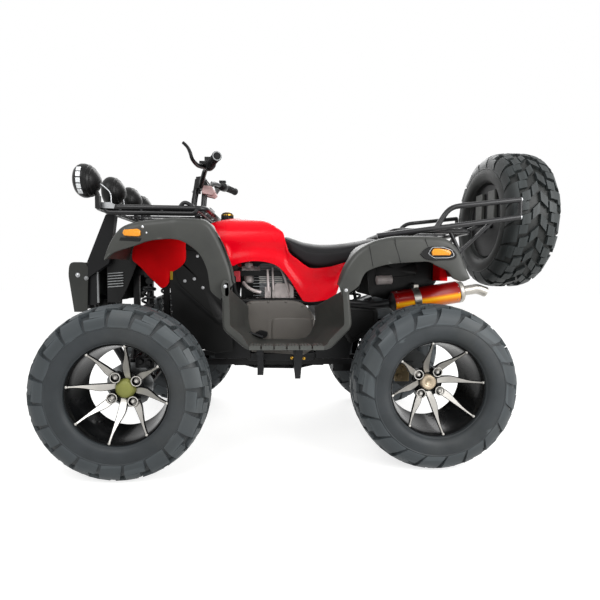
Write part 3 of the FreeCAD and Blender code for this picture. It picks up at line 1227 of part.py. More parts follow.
def rear_fenders():
    """Both rear wings and the tail sheet between them."""
    outer = rear_fender_line()
    inner = spread(REAR_FENDER_INNER_SHARES, REAR_X - REAR_FENDER_LEAD, REAR_FENDER_Z, REAR_FENDER_LENGTH,
                   REAR_FENDER_HEIGHT)
    left = fender_side(outer, inner, TANK_HALF + SEAT_GAP)
    tail = prism(strip(outer[-4:-1], -PANEL), -TANK_HALF - PANEL, TANK_HALF + PANEL)
    return fuse([left, mirrored(left), tail])


def inner_panels():
    """The red panels inside both arches, each with a flange under its wing."""
    front = spread(FRONT_INNER_SHARES, FRONT_X - FRONT_INNER_LEAD, FRONT_INNER_Z, FRONT_INNER_LENGTH,
                   FRONT_INNER_HEIGHT)
    line = offset_line(front_fender_line(), -PANEL - SEAT_GAP)
    ends = (front[0][0], front[-1][0])
    top = [(x, z) for x, z in line if ends[1] < x < ends[0]]
    top = [(ends[1], height_on(line, ends[1]))] + top + [(ends[0], height_on(line, ends[0]))]
    web = prism(top[::-1] + front[::-1], -INNER_PANEL_Y, -INNER_PANEL_Y - PANEL)
    flange = prism(strip(top, -PANEL), -INNER_PANEL_Y, -INNER_PANEL_Y - 4 * PANEL)
    left_front = fuse([web, flange])
    line = offset_line(rear_fender_line(), -PANEL - SEAT_GAP)
    start = REAR_X - REAR_INNER_LEAD
    foot = spread(REAR_INNER_FOOT_SHARES, start, REAR_INNER_Z, REAR_INNER_LENGTH, REAR_FENDER_HEIGHT)
    end = start + REAR_INNER_LENGTH
    top = [(start, height_on(line, start))] + [(x, z) for x, z in line if start < x < end]
    top.append((end, height_on(line, end)))
    web = prism(top + foot, -REAR_INNER_Y, -REAR_INNER_Y - PANEL)
    flange = prism(strip(top[:-2], -PANEL), -REAR_INNER_Y, -TANK_HALF - 4 * PANEL)
    left_rear = fuse([web, flange])
    return group([left_front, mirrored(left_front), left_rear, mirrored(left_rear)])


def splash_guards():
    """Dark shields inside the arches, against the inner edges of the footwells."""
    y = -FOOTWELL_IN + SEAT_GAP
    guards = [prism(spread(FRONT_GUARD_SHARES, GUARD_X, GUARD_Z, GUARD_LENGTH, GUARD_HEIGHT), y, y + PANEL),
              prism(spread(REAR_GUARD_SHARES, REAR_GUARD_X, REAR_GUARD_Z, REAR_GUARD_LENGTH, REAR_GUARD_HEIGHT),
                    y, y + PANEL)]
    return group(guards + [mirrored(guard) for guard in guards])


def footwell():
    """The left footwell: front wall, padded floor and rear wall, with a turned edge along the outside."""
    line = spread(FOOTWELL_OUTER_SHARES, FOOTWELL_X, FOOT_Z, FOOTWELL_LENGTH, FOOTWELL_HEIGHT)
    tray = prism(strip(line, PANEL), -FOOTWELL_OUT, -FOOTWELL_IN)
    edge = prism(strip(line, FOOTWELL_FLANGE), -FOOTWELL_OUT, -FOOTWELL_OUT + PANEL)
    lip = block(line[2][0], line[3][0], -FOOTWELL_OUT - CUT_OVERRUN, -FOOTWELL_OUT + PANEL + CUT_OVERRUN,
                FOOT_Z + 3 * PANEL, FOOT_Z + FOOTWELL_FLANGE + CUT_OVERRUN)
    wing_room = block(FOOTWELL_X, FOOTWELL_X + FOOTWELL_FLANGE, -FENDER_OUT - SEAT_GAP,
                      -FENDER_OUT + PANEL + SEAT_GAP,
                      FRONT_FENDER_Z - SEAT_GAP, FOOT_Z + FOOTWELL_HEIGHT + CUT_OVERRUN)
    pads = []
    first = (line[2][0] + line[3][0] - PAD_COUNT * PAD_PITCH) / 2
    for index in range(PAD_COUNT):
        x = first + index * PAD_PITCH
        pads.append(block(x, x + PAD_LENGTH, -FOOTWELL_OUT + PANEL, -FOOTWELL_OUT + PANEL + PAD_WIDTH,
                          FOOT_Z + PANEL / 2,
                          FOOT_Z + PANEL + PAD_HEIGHT))
    return fuse([tray.cut(wing_room), edge.cut(lip)] + pads)


def seat_outline():
    """The saddle seen from the side."""
    return spread(SEAT_SHARES, SEAT_X, SEAT_Z, SEAT_LENGTH, SEAT_HEIGHT)


def seat():
    """The saddle as one closed solid with rounded shoulders."""
    section = spread(SEAT_SECTION_SHARES, 0, SEAT_Z, SEAT_HALF, SEAT_HEIGHT)
    return prism(seat_outline(), -SEAT_HALF, SEAT_HALF).common(
        end_prism(section, SEAT_X - CUT_OVERRUN, SEAT_X + SEAT_LENGTH + CUT_OVERRUN))


def tank_cover():
    """The red tank cover, with side panels that run down and back below the seat."""
    top = prism(spread(TANK_TOP_SHARES, TANK_X, TANK_Z, TANK_LENGTH, TANK_HEIGHT), -TANK_HALF, TANK_HALF)
    section = spread(TANK_SECTION_SHARES, 0, TANK_Z, TANK_HALF, TANK_HEIGHT + PANEL)
    top = top.common(end_prism(section, TANK_X - CUT_OVERRUN, TANK_X + TANK_LENGTH))
    line = spread(TANK_PANEL_SHARES, TANK_X, TANK_Z, TANK_LENGTH, TANK_HEIGHT)
    panel = prism(line, -TANK_HALF, -TANK_HALF + PANEL)
    keep = spread(PANEL_SECTION_SHARES, 0, TANK_Z, TANK_HALF, TANK_HEIGHT + PANEL)
    panel = panel.common(end_prism(keep, TANK_X - CUT_OVERRUN, TANK_X + TANK_LENGTH + CUT_OVERRUN))
    room = prism(grown(seat_outline(), SEAT_GAP), -SEAT_HALF - SEAT_GAP, SEAT_HALF + SEAT_GAP)
    return fuse([top, panel, mirrored(panel)]).cut(room)


def filler_cap(cover):
    """The fuel cap on the front slope of the tank's crown."""
    x = TANK_X + CAP_BACK
    high = TANK_Z + TANK_HEIGHT
    cap = tube(vec(x, 0, high - FILLER_HEIGHT), vec(x, 0, high + FILLER_HEIGHT / 2), FILLER_RADIUS)
    return cap.cut(placed(cover, 0, 0, SEAT_GAP))


def nose_fairing():
    """The fairing behind the front guard: two cheeks and the sheet that wraps its front and top."""
    line = spread(NOSE_SHARES, NOSE_X, NOSE_Z, NOSE_LENGTH, NOSE_HEIGHT)
    cheek = prism(line, -NOSE_HALF, -NOSE_HALF + PANEL)
    wrap = prism(strip(line[:3], -PANEL), -NOSE_HALF, NOSE_HALF)
    return fuse([cheek, mirrored(cheek), wrap])


def grille():
    """The bright slats on both cheeks of the nose fairing."""
    slats = []
    x_from = NOSE_X + SLAT_FRONT_SHARE * NOSE_LENGTH
    x_to = NOSE_X + SLAT_REAR_SHARE * NOSE_LENGTH
    y = -NOSE_HALF - SEAT_GAP
    for index in range(SLAT_COUNT):
        z = NOSE_Z + SLAT_LOW_SHARE * NOSE_HEIGHT + index * SLAT_PITCH
        lean = SLAT_PITCH / 2
        slats.append(prism([(x_from, z), (x_to, z + lean), (x_to, z + lean + SLAT_HEIGHT),
                            (x_from, z + SLAT_HEIGHT)],
                           y, y - SLAT_DEPTH))
    return group(slats + [mirrored(slat) for slat in slats])


def marker_lamps():
    """The amber lamps on the outer bands of the wings."""
    y = -FENDER_OUT - SEAT_GAP
    front = spread(MARKER_SHARES, FRONT_X - FRONT_FENDER_LEAD + FRONT_MARKER_BACK, FRONT_MARKER_Z,
                   FRONT_MARKER_LENGTH,
                   FRONT_MARKER_HEIGHT)
    rear = spread(MARKER_SHARES, REAR_X - REAR_FENDER_LEAD + REAR_MARKER_BACK, REAR_MARKER_Z, REAR_MARKER_LENGTH,
                  REAR_MARKER_HEIGHT)
    lamps_left = [prism(front, y, y - MARKER_DEPTH), prism(rear, y, y - MARKER_DEPTH)]
    return group(lamps_left + [mirrored(lamp) for lamp in lamps_left])


# Racks, bumper, lamps and spare tyre

def rack_loop(x_from, x_to, half, z):
    """A loop of tube with cut corners."""
    corners = [vec(x_from, -half, z), vec(x_to, -half, z), vec(x_to, half, z), vec(x_from, half, z)]
    start = (corners[0] + corners[3]) * (1 / 2)
    path = cut_corners([start] + corners + [start], RACK_BEND)
    return [tube_run(path[:len(path) // 2 + 1], RACK_RADIUS), tube_run(path[len(path) // 2:], RACK_RADIUS)]


def rack_slats(x_from, x_to, z, slats):
    """Flat slats along a rack, whose tops stand a little proud of the loop."""
    top = rack_top(z)
    return [block(x_from, x_to, y - SLAT_HALF, y + SLAT_HALF, top - SLAT_HALF, top) for y in slats]


def rack_top(z):
    """The height of the slats' flat tops on a rack whose tubes lie at z."""
    return z + flat(RACK_RADIUS) + SLAT_PROUD


def front_rack():
    """The front rack: loop, slats, the cross bar on its legs, lower side tubes and two hoops."""
    slats = [side * y for side in (LEFT, RIGHT) for y in FRONT_SLAT_Y]
    x_from = FRONT_RACK_FRONT_X
    x_to = FRONT_RACK_REAR_X
    pieces = rack_loop(x_from, x_to, FRONT_RACK_HALF, FRONT_RACK_Z)
    pieces += rack_slats(x_from, x_to, FRONT_RACK_Z, slats)
    pieces.append(axle_bar(RACK_LEG_X, FRONT_RACK_Z, -FRONT_RACK_HALF, FRONT_RACK_HALF, RACK_RADIUS))
    low_z = FRONT_RACK_Z - 2 * flat(RACK_RADIUS)
    for side in (LEFT, RIGHT):
        y = side * FRONT_RACK_HALF
        pieces.append(tube(vec(x_from + RACK_BEND, y, low_z), vec(x_to - RACK_BEND, y, low_z), RACK_RADIUS))
        rear = RACK_LEG_X
        top_z = FRONT_RACK_Z + HOOP_HEIGHT
        pieces.append(tube_run([vec(rear - HOOP_LENGTH, y, FRONT_RACK_Z),
                                vec(rear - HOOP_LENGTH * 3 / 4, y, top_z),
                                vec(rear - HOOP_LENGTH / 2, y, top_z), vec(rear, y, FRONT_RACK_Z)],
                                STAY_RADIUS, THIN_SIDES))
    return fuse(pieces)


def rear_rack():
    """The rear rack: platform on legs, sloping side tubes with their upper tubes, and the struts behind."""
    slats = sorted({side * y for side in (LEFT, RIGHT) for y in REAR_SLAT_Y})
    pieces = rack_loop(REAR_RACK_FRONT_X, REAR_RACK_REAR_X, REAR_RACK_HALF, REAR_RACK_Z)
    pieces += rack_slats(REAR_RACK_FRONT_X, REAR_RACK_REAR_X, REAR_RACK_Z, slats)
    side_x = REAR_X - SIDE_TUBE_LEAD
    side_z = REAR_RACK_Z - SIDE_TUBE_DROP
    tie_x = side_x + SIDE_TIE_SHARE * SIDE_TUBE_LENGTH
    pieces.append(axle_bar(tie_x, REAR_RACK_Z, -SIDE_TUBE_Y, SIDE_TUBE_Y, RACK_RADIUS))
    strut_x = REAR_X + REAR_STRUT_LEAD
    strut_z = REAR_RACK_Z - REAR_STRUT_DROP
    pieces.append(axle_bar(strut_x, strut_z, -REAR_RACK_HALF, REAR_RACK_HALF, RACK_RADIUS))
    for side in (LEFT, RIGHT):
        y = side * SIDE_TUBE_Y
        side_end = vec(side_x + SIDE_TUBE_LENGTH, y, side_z + SIDE_TUBE_RISE)
        pieces.append(tube(vec(side_x, y, side_z), side_end, RACK_RADIUS, THIN_SIDES))
        upper = [vec(x, y, z) for x, z in spread(UPPER_TUBE_SHARES, side_x, side_z, SIDE_TUBE_LENGTH,
                                                 SIDE_TUBE_RISE)]
        pieces.append(tube_run(upper, RACK_RADIUS, THIN_SIDES))
        leg_y = side * RAIL_MIDDLE_Y
        for index in range(2):
            x = REAR_RACK_FRONT_X + REAR_LEG_INSET + index * REAR_LEG_PITCH
            pieces.append(tube(vec(x, leg_y, RAIL_TOP_Z + SEAT_GAP), vec(x, leg_y, REAR_RACK_Z),
                               STAY_RADIUS, THIN_SIDES))
        y = side * REAR_RACK_HALF
        pieces.append(tube(vec(strut_x - RACK_BEND, y, REAR_RACK_Z), vec(strut_x, y, strut_z), STAY_RADIUS,
                           THIN_SIDES))
        pieces.append(tube_run([vec(strut_x, leg_y, strut_z), vec(REAR_RACK_REAR_X, leg_y, REAR_RACK_Z)],
                               STAY_RADIUS, THIN_SIDES))
        foot_x = UPPER_RAIL_REAR_X + SEAT_GAP
        pieces.append(tube_run([vec(foot_x, leg_y, UPPER_RAIL_Z + RAIL / 2),
                                vec(foot_x + STAY_RADIUS, leg_y, UPPER_RAIL_Z + RAIL / 2),
                                vec(strut_x, leg_y, strut_z)],
                               STAY_RADIUS, THIN_SIDES))
    return fuse(pieces)


def lamps():
    """Four round lamp bowls on stalks from a bar along the front of the rack."""
    bar_x = FRONT_RACK_FRONT_X - flat(RACK_RADIUS) - SEAT_GAP
    face_x = FRONT_X - LAMP_FACE_LEAD
    half = LAMP_Y[-1] + LAMP_BAR
    pieces = [block(bar_x - LAMP_BAR, bar_x, -half, half, FRONT_RACK_Z - LAMP_BAR, FRONT_RACK_Z + LAMP_BAR)]
    lamp_z = FRONT_RACK_Z + LAMP_RISE
    stations = [(share * LAMP_LENGTH, wide * LAMP_RADIUS) for share, wide in LAMP_SHAPE_SHARES]
    for y in LAMP_Y:
        for side in (LEFT, RIGHT):
            pieces.append(lathe(stations, vec(face_x, side * y, lamp_z), vec(1, 0, 0), LAMP_SIDES))
            pieces.append(block(bar_x - LAMP_BAR, bar_x, side * y - LAMP_BAR, side * y + LAMP_BAR, FRONT_RACK_Z,
                                lamp_z - LAMP_RADIUS / 2))
    return fuse(pieces)


def bumper():
    """The front guard: a bent plate with cheeks, two leaning pillars up to the rack, and tubes to the frame."""
    line = spread(BUMPER_SHARES, BUMPER_FRONT_X, BUMPER_LOW_Z, BUMPER_DEPTH, BUMPER_HEIGHT)
    cheek = prism(line, -BUMPER_HALF, -BUMPER_HALF + PANEL)
    face = prism(strip(line[:5], -PANEL), -BUMPER_HALF, BUMPER_HALF)
    pieces = [cheek, mirrored(cheek), face]
    base_z = BUMPER_LOW_Z + BUMPER_HEIGHT
    rack_under = FRONT_RACK_Z - flat(RACK_RADIUS) - SEAT_GAP
    x = BUMPER_FRONT_X + PILLAR_BACK
    post = [(x, base_z), (x, base_z - PILLAR_FOOT), (x + PILLAR_LENGTH, base_z - PANEL),
            (x + PILLAR_LEAN + PILLAR_TOP_LENGTH, rack_under), (x + PILLAR_LEAN, rack_under)]
    pillar = prism(post, -NOSE_HALF - SEAT_GAP, -BUMPER_HALF + PANEL / 2)
    pieces += [pillar, mirrored(pillar)]
    radius = BUMPER_TUBE_RADIUS
    foot_x = RAIL_FRONT_X - flat(radius) - SEAT_GAP
    foot_z = LOWER_RAIL_Z + RAIL / 2
    back_x = BUMPER_FRONT_X + BUMPER_TUBE_BACK
    low_z = BUMPER_LOW_Z + 2 * radius
    plate_x = height_on([(z, x) for x, z in line[:2]], low_z) + PANEL / 4
    pieces.append(axle_bar(foot_x, foot_z, -RAIL_OUTER_Y, RAIL_OUTER_Y, radius))
    for side in (LEFT, RIGHT):
        y = side * RAIL_MIDDLE_Y
        pieces.append(tube_run([vec(foot_x, y, foot_z), vec(back_x, y, BUMPER_LOW_Z),
                                vec(back_x, y, low_z + 2 * radius)],
                               radius))
        pieces.append(block(plate_x, back_x, y - radius / 2, y + radius / 2, low_z, low_z + radius))
    return fuse(pieces)


def spare_tyre():
    """The spare tyre, its axis along the machine."""
    casing = tyre(REAR_TYRE_WIDTH, True)
    casing.rotate(vec(0, 0, 0), vec(0, 0, 1), QUARTER_TURN)
    return placed(casing, SPARE_X, 0, SPARE_Z)


def spare_carrier():
    """Arms from the rear rack back to a plate inside the spare tyre's hole."""
    plate_x = SPARE_X - BEAD_HALF_SHARE * REAR_TYRE_WIDTH + CARRIER_PLATE
    radius = BEAD_RADIUS - SEAT_GAP
    corners = [vec(plate_x, radius * math.cos(angle),
                   SPARE_Z + radius * math.sin(angle)) for angle in facet_angles()]
    plate = flat_face(corners).extrude(vec(CARRIER_PLATE, 0, 0))
    root_x = REAR_RACK_REAR_X + flat(RACK_RADIUS) + SEAT_GAP
    tip_x = plate_x + CARRIER_PLATE / 2
    half = CARRIER_ARM / 2
    outline = [(root_x, REAR_RACK_Z - half), (tip_x, SPARE_Z - half), (tip_x, SPARE_Z + half),
               (root_x, REAR_RACK_Z + half)]
    arm = prism(outline, -CARRIER_Y - half, -CARRIER_Y + half)
    return fuse([plate, arm, mirrored(arm)])


def main():
    """Build every node, move the model so that its origin is at the centre of its base, and write it."""
    casing_front, alloy_front = front_wheel()
    casing_rear, alloy_rear = rear_wheel()
    hub = front_hub()
    upright_left = knuckle()
    rod = tie_rod()
    cover = tank_cover()
    nodes = {
        "tyre_front_left": casing_front,
        "tyre_front_right": mirrored(casing_front),
        "tyres_rear": pair(casing_rear),
        "rim_front_left": alloy_front,
        "rim_front_right": mirrored(alloy_front),
        "rims_rear": pair(alloy_rear),
        "hub_front_left": hub,
        "hub_front_right": mirrored(hub),
        "knuckle_left": upright_left,
        "knuckle_right": mirrored(upright_left),
        "tie_rod_left": rod,
        "tie_rod_right": mirrored(rod),
        "steering_column": steering_column(),
        "handlebar": handlebar(),
        "grips": grips(),
        "handlebar_controls": controls(),
        "frame": frame(),
        "suspension_arms": suspension_arms(),
        "front_shocks": front_shocks(),
        "swingarm": swingarm(),
        "rear_shock": rear_shock(),
        "rear_axle": rear_axle(),
        "chain": chain(),
        "crankcase": crankcase(),
        "foot_levers": foot_levers(),
        "cylinder": cylinder(),
        "exhaust_pipe": exhaust_pipe(),
        "muffler": muffler(),
        "muffler_ends": muffler_ends(),
        "front_fenders": front_fenders(),
        "rear_fenders": rear_fenders(),
        "inner_panels": inner_panels(),
        "splash_guards": splash_guards(),
        "footwells": pair(footwell()),
        "tank_cover": cover,
        "seat": seat(),
        "filler_cap": filler_cap(cover),
        "nose_fairing": nose_fairing(),
        "grille": grille(),
        "marker_lamps": marker_lamps(),
        "front_rack": front_rack(),
        "rear_rack": rear_rack(),
        "lamps": lamps(),
        "bumper": bumper(),
        "spare_tyre": spare_tyre(),
        "spare_carrier": spare_carrier(),
    }
    bounds = group(nodes.values()).BoundBox
    shift = -(bounds.XMin + bounds.XMax) / 2
    print("shift", shift, "length", bounds.XLength, "width", bounds.YLength, "height", bounds.ZLength)
    places = {
        "column_bottom": COLUMN_BOTTOM,
        "column_up": COLUMN_UP,
        "drop_pin": DROP_PIN,
        "kingpin": vec(FRONT_X, -KINGPIN_Y, AXLE_Z),
        "front_wheel": vec(FRONT_X, -FRONT_WHEEL_Y, AXLE_Z),
        "rear_wheel": vec(REAR_X, 0, AXLE_Z),
        "rack_top_front": vec((FRONT_RACK_FRONT_X + RACK_LEG_X) / 2, FRONT_SLAT_Y[0], rack_top(FRONT_RACK_Z)),
        "rack_top_rear": vec((REAR_RACK_FRONT_X + REAR_RACK_REAR_X) / 2, REAR_SLAT_Y[1], rack_top(REAR_RACK_Z)),
    }
    for name, place in places.items():
        print("point", name, place.x, place.y, place.z)
    os.makedirs("parts", exist_ok=True)
    for name, shape in nodes.items():
        moved = placed(shape, shift, 0, 0)
        print(name, len(moved.Solids), moved.isValid(), round(moved.Volume / CUBIC_CENTIMETRE), len(moved.Faces))
        moved.exportStep(os.path.join("parts", name + ".step"))


main()
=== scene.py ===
"""Looks of a quad bike with a spare tyre carrier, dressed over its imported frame.

Places are written in millimetres from the middle of the wheelbase, as the machine was laid out, and `at` turns
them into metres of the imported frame. The machine faces -X, its left side is on -Y, the ground is z = 0.
"""
import math

import bmesh
import bpy
import numpy as np
from mathutils import Matrix, Vector


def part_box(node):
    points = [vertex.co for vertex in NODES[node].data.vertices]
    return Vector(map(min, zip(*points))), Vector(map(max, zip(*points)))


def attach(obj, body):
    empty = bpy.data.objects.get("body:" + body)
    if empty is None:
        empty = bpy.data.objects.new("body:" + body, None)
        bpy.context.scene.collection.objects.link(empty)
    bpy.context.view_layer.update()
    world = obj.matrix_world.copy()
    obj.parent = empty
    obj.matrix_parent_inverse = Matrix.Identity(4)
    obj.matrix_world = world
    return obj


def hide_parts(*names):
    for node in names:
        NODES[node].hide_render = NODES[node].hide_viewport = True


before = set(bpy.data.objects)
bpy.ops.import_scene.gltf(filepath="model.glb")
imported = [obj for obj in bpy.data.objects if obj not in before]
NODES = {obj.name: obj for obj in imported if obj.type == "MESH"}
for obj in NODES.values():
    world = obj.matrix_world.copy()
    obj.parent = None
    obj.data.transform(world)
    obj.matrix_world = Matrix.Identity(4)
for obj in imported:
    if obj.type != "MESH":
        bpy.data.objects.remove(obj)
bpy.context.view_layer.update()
FRONT_X, REAR_X = -580.0, 580.0
FRONT_Y, REAR_Y = 512.5, 434.0
wheel_low, wheel_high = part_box("tyre_front_left")
SHIFT = ((wheel_low + wheel_high) / 2).x * 1000 - FRONT_X
AXLE_Z = ((wheel_low + wheel_high) / 2).z * 1000
TYRE_RADIUS, FRONT_WIDTH, REAR_WIDTH = 315.0, 183.0, 238.0
SPARE = (1070.0, 0.0, 1002.5)
LEFT, RIGHT = -1, 1
# edges that turn by more than this are bevelled
BEVEL_FROM = math.radians(32)


# Meshes from numpy

def at(points):
    """Layout millimetres, moved by the frame's shift and given in metres."""
    moved_points = np.array(points, float).reshape(-1, 3)
    moved_points[:, 0] += SHIFT
    return moved_points / 1000.0


def unit(v):
    """Each row divided by its length."""
    v = np.asarray(v, float)
    return v / np.maximum(np.linalg.norm(v, axis=-1, keepdims=True), 1e-12)


def piece(name, parts, material, body="chassis", smooth=40.0, bevel=0.0, segments=2, replaces=()):
    """One object from (points in layout mm, faces) parts, shaded smooth below an angle and bevelled by mm."""
    points, faces, start = [], [], 0
    for verts, polys in parts:
        verts = np.asarray(verts, float).reshape(-1, 3)
        points.append(verts)
        faces += [[start + i for i in poly] for poly in polys]
        start += len(verts)
    mesh = bpy.data.meshes.new(name)
    mesh.from_pydata(at(np.vstack(points)).tolist(), [], faces)
    mesh.validate()
    obj = bpy.data.objects.new(name, mesh)
    bpy.context.scene.collection.objects.link(obj)
    mesh.materials.append(material)
    finish_mesh(obj, smooth)
    if bevel:
        edge = obj.modifiers.new("edge", "BEVEL")
        edge.width = bevel / 1000.0
        edge.segments = segments
        edge.limit_method = "ANGLE"
        edge.angle_limit = BEVEL_FROM
    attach(obj, body)
    if replaces:
        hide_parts(*replaces)
    return obj


def finish_mesh(obj, smooth):
    """Doubles merged, normals pointing outwards, smooth shading with sharp edges over an angle."""
    bm = bmesh.new()
    bm.from_mesh(obj.data)
    bmesh.ops.remove_doubles(bm, verts=bm.verts, dist=1e-6)
    bmesh.ops.recalc_face_normals(bm, faces=bm.faces)
    limit = math.radians(smooth)
    for edge in bm.edges:
        edge.smooth = not (len(edge.link_faces) == 2 and edge.calc_face_angle(0) > limit)
    for face in bm.faces:
        face.smooth = True
    bm.to_mesh(obj.data)
    bm.free()
    obj.data.update()


def grid(points, close_u=False, close_v=False):
    """Quads over an array of points (rows, columns, 3), closed either way where asked."""
    points = np.asarray(points, float)
    rows, columns = points.shape[:2]
    u = np.arange(rows if close_u else rows - 1)
    v = np.arange(columns if close_v else columns - 1)
    uu, vv = np.meshgrid(u, v, indexing="ij")
    un, vn = (uu + 1) % rows, (vv + 1) % columns
    quads = np.stack([uu * columns + vv, un * columns + vv, un * columns + vn, uu * columns + vn], -1)
    return points.reshape(-1, 3), quads.reshape(-1, 4).tolist()


def capped(points):
    """A grid of rings closed by a face over its first and last ring."""
    points = np.asarray(points, float)
    rows, columns = points.shape[:2]
    verts, quads = grid(points, close_v=True)
    return verts, quads + [list(range(columns))[::-1], [(rows - 1) * columns + i for i in range(columns)]]


def walled(points, thickness, centre):
    """A sheet given a wall: the grid, a copy moved along the grid's normals towards a centre, and their rim.

    The normal is the cross product of the two differences along the grid; one sign serves the whole sheet, the one
    whose mean points at the centre.
    """
    p = np.asarray(points, float)
    rows, columns = p.shape[:2]
    normal = unit(np.cross(np.gradient(p, axis=0), np.gradient(p, axis=1)))
    if ((np.asarray(centre, float) - p) * normal).sum() < 0:
        normal = -normal
    verts, quads = grid(p)
    inner, _ = grid(p + normal * thickness)
    count = rows * columns
    index = np.arange(count).reshape(rows, columns)
    rim = np.concatenate([index[0, :], index[1:, -1], index[-1, -2::-1], index[-2:0:-1, 0]])
    after = np.roll(rim, -1)
    walls = np.stack([rim, after, after + count, rim + count], 1).tolist()
    return np.vstack([verts, inner]), quads + [[i + count for i in q[::-1]] for q in quads] + walls


def smooth_path(points, steps):
    """A Catmull-Rom curve through the points, with steps to each span."""
    p = np.asarray(points, float)
    p = np.vstack([2 * p[:1] - p[1:2], p, 2 * p[-1:] - p[-2:-1]])
    t = (np.arange(steps) / steps)[None, :, None]
    a, b, c, d = p[:-3, None], p[1:-2, None], p[2:-1, None], p[3:, None]
    curve = 0.5 * (2 * b + (c - a) * t + (2 * a - 5 * b + 4 * c - d) * t ** 2 + (3 * b - a - 3 * c + d) * t ** 3)
    return np.vstack([curve.reshape(-1, p.shape[1]), p[-2:-1]])


def rounded_path(points, radius, steps=6, most=0.48):
    """Straight runs whose corners are quadratic arcs that begin a radius before each corner, or at most of a run."""
    p = np.asarray(points, float)
    result = [p[:1]]
    t = np.linspace(0, 1, steps)[:, None]
    for before, corner, after in zip(p, p[1:], p[2:]):
        a = corner + unit(before - corner) * min(radius, np.linalg.norm(before - corner) * most)
        b = corner + unit(after - corner) * min(radius, np.linalg.norm(after - corner) * most)
        result.append((1 - t) ** 2 * a + 2 * t * (1 - t) * corner + t ** 2 * b)
    return np.vstack(result + [p[-1:]])


def spaced(path, count):
    """The path's points again, evenly spaced along its length."""
    path = np.asarray(path, float)
    length = np.concatenate([[0], np.cumsum(np.linalg.norm(np.diff(path, axis=0), axis=1))])
    where = np.linspace(0, length[-1], count)
    return np.stack([np.interp(where, length, path[:, k]) for k in range(path.shape[1])], 1)


def rounded(outline, radius, count=0):
    """A closed outline with rounded corners, its points spaced evenly where a count is given."""
    line = rounded_path(np.vstack([outline, outline[:1]]), radius)
    return spaced(line, count + 1)[:-1] if count else line[:-1]


def on_side(path, y):
    """A path in (x, z) put on the sheet at y."""
    return np.stack([path[:, 0], np.full(len(path), float(y)), path[:, 1]], 1)


def crosswise(line, half, columns):
    """A line in (x, z) drawn across the machine from -half to half: points for a sheet."""
    points = np.zeros((len(line), columns, 3))
    points[..., 0], points[..., 2] = line[:, :1], line[:, 1:2]
    points[..., 1] = np.linspace(-half, half, columns)
    return points


def sweep(path, radius, sides=12, flat=1.0, closed=False):
    """A tube with closed ends or a closed ring: circles, or flattened ones, square to the path.

    The radius may change along the path. Up is Z, or Y where the path climbs steeply, or X where it runs along those.
    """
    path = np.asarray(path, float)
    if closed:
        way = unit(np.roll(path, -1, 0) - np.roll(path, 1, 0))
    else:
        way = unit(np.gradient(path, axis=0))
    up = np.array([0.0, 0.0, 1.0]) if abs(way[:, 2]).max() < 0.93 else np.array([0.0, 1.0, 0.0])
    if abs(way @ up).max() > 0.97:
        up = np.array([1.0, 0.0, 0.0])
    side = unit(np.cross(way, up))
    rise = np.cross(side, way)
    turn = np.linspace(0, 2 * np.pi, sides, endpoint=False)
    r = np.broadcast_to(np.asarray(radius, float), (len(path),))[:, None, None]
    rings = path[:, None] + r * (np.cos(turn)[None, :, None] * side[:, None]
                                 + flat * np.sin(turn)[None, :, None] * rise[:, None])
    if closed:
        return grid(rings, close_u=True, close_v=True)
    return capped(rings)


def curved(points, radius, steps=6, sides=12):
    """A round tube along a smooth curve through the points."""
    return sweep(smooth_path(points, steps), radius, sides)


def bent(points, radius, bend, sides=12, closed=False):
    """A bent tube through corner points, with the same bend at each corner."""
    p = np.asarray(points, float)
    if closed:
        start = (p[0] + p[-1]) / 2
        path = rounded_path(np.vstack([start, p, start]), bend)[:-1]
        return sweep(path, radius, sides, closed=True)
    return sweep(rounded_path(p, bend), radius, sides)


def rod(a, b, radius, sides=16):
    """A straight round rod from a to b."""
    return sweep([a, (np.asarray(a, float) + b) / 2, b], radius, sides)


def turned(stations, centre, axis, sides=32, close=True):
    """A turned form: (distance along the axis, radius) stations about a centre and an axis."""
    axis = unit(np.asarray(axis, float))
    other = np.array([0.0, 0.0, 1.0]) if abs(axis[2]) < 0.9 else np.array([1.0, 0.0, 0.0])
    u = unit(np.cross(axis, other))
    v = np.cross(axis, u)
    s = np.asarray(stations, float)
    turn = np.linspace(0, 2 * np.pi, sides, endpoint=False)
    rings = (np.asarray(centre, float) + s[:, :1, None] * axis + s[:, 1:2, None]
             * (np.cos(turn)[None, :, None] * u + np.sin(turn)[None, :, None] * v))
    return capped(rings) if close else grid(rings, close_u=True, close_v=True)


def coil(a, b, radius, wire, turns, steps=20):
    """A helical spring from a to b: an octagon of the wire's size carried round it in so many steps to a turn."""
    a, b = np.asarray(a, float), np.asarray(b, float)
    axis = unit(b - a)
    u = unit(np.cross(axis, (0.0, 1.0, 0.0)))
    v = np.cross(axis, u)
    t = np.linspace(0, 1, int(turns * steps))[:, None]
    turn = 2 * np.pi * turns * t
    path = a + (b - a) * t + radius * (np.cos(turn) * u + np.sin(turn) * v)
    return sweep(path, wire, 8)


def slab(outline, low, high, axis="y"):
    """A flat plate: an outline in (x, z) carried along Y, or in (x, y) along Z."""
    o = np.asarray(outline, float)
    rings = np.zeros((2, len(o), 3))
    first, second, way = {"y": (0, 2, 1), "z": (0, 1, 2)}[axis]
    rings[:, :, first], rings[:, :, second] = o[:, 0], o[:, 1]
    rings[0, :, way], rings[1, :, way] = low, high
    return capped(rings)


def plate(outline, radius, low, high, axis="y"):
    """A flat plate with rounded corners."""
    return slab(rounded(outline, radius), low, high, axis)


def relief(outline, levels):
    """A raised form: the outline drawn in to a share of its size at each (share, y) level, closed at both ends."""
    middle = outline.mean(0)
    return capped([on_side(middle + (outline - middle) * share, y) for share, y in levels])


def box(x0, x1, y0, y1, z0, z1):
    """A block between two corners."""
    return slab([(x0, z0), (x1, z0), (x1, z1), (x0, z1)], y0, y1)


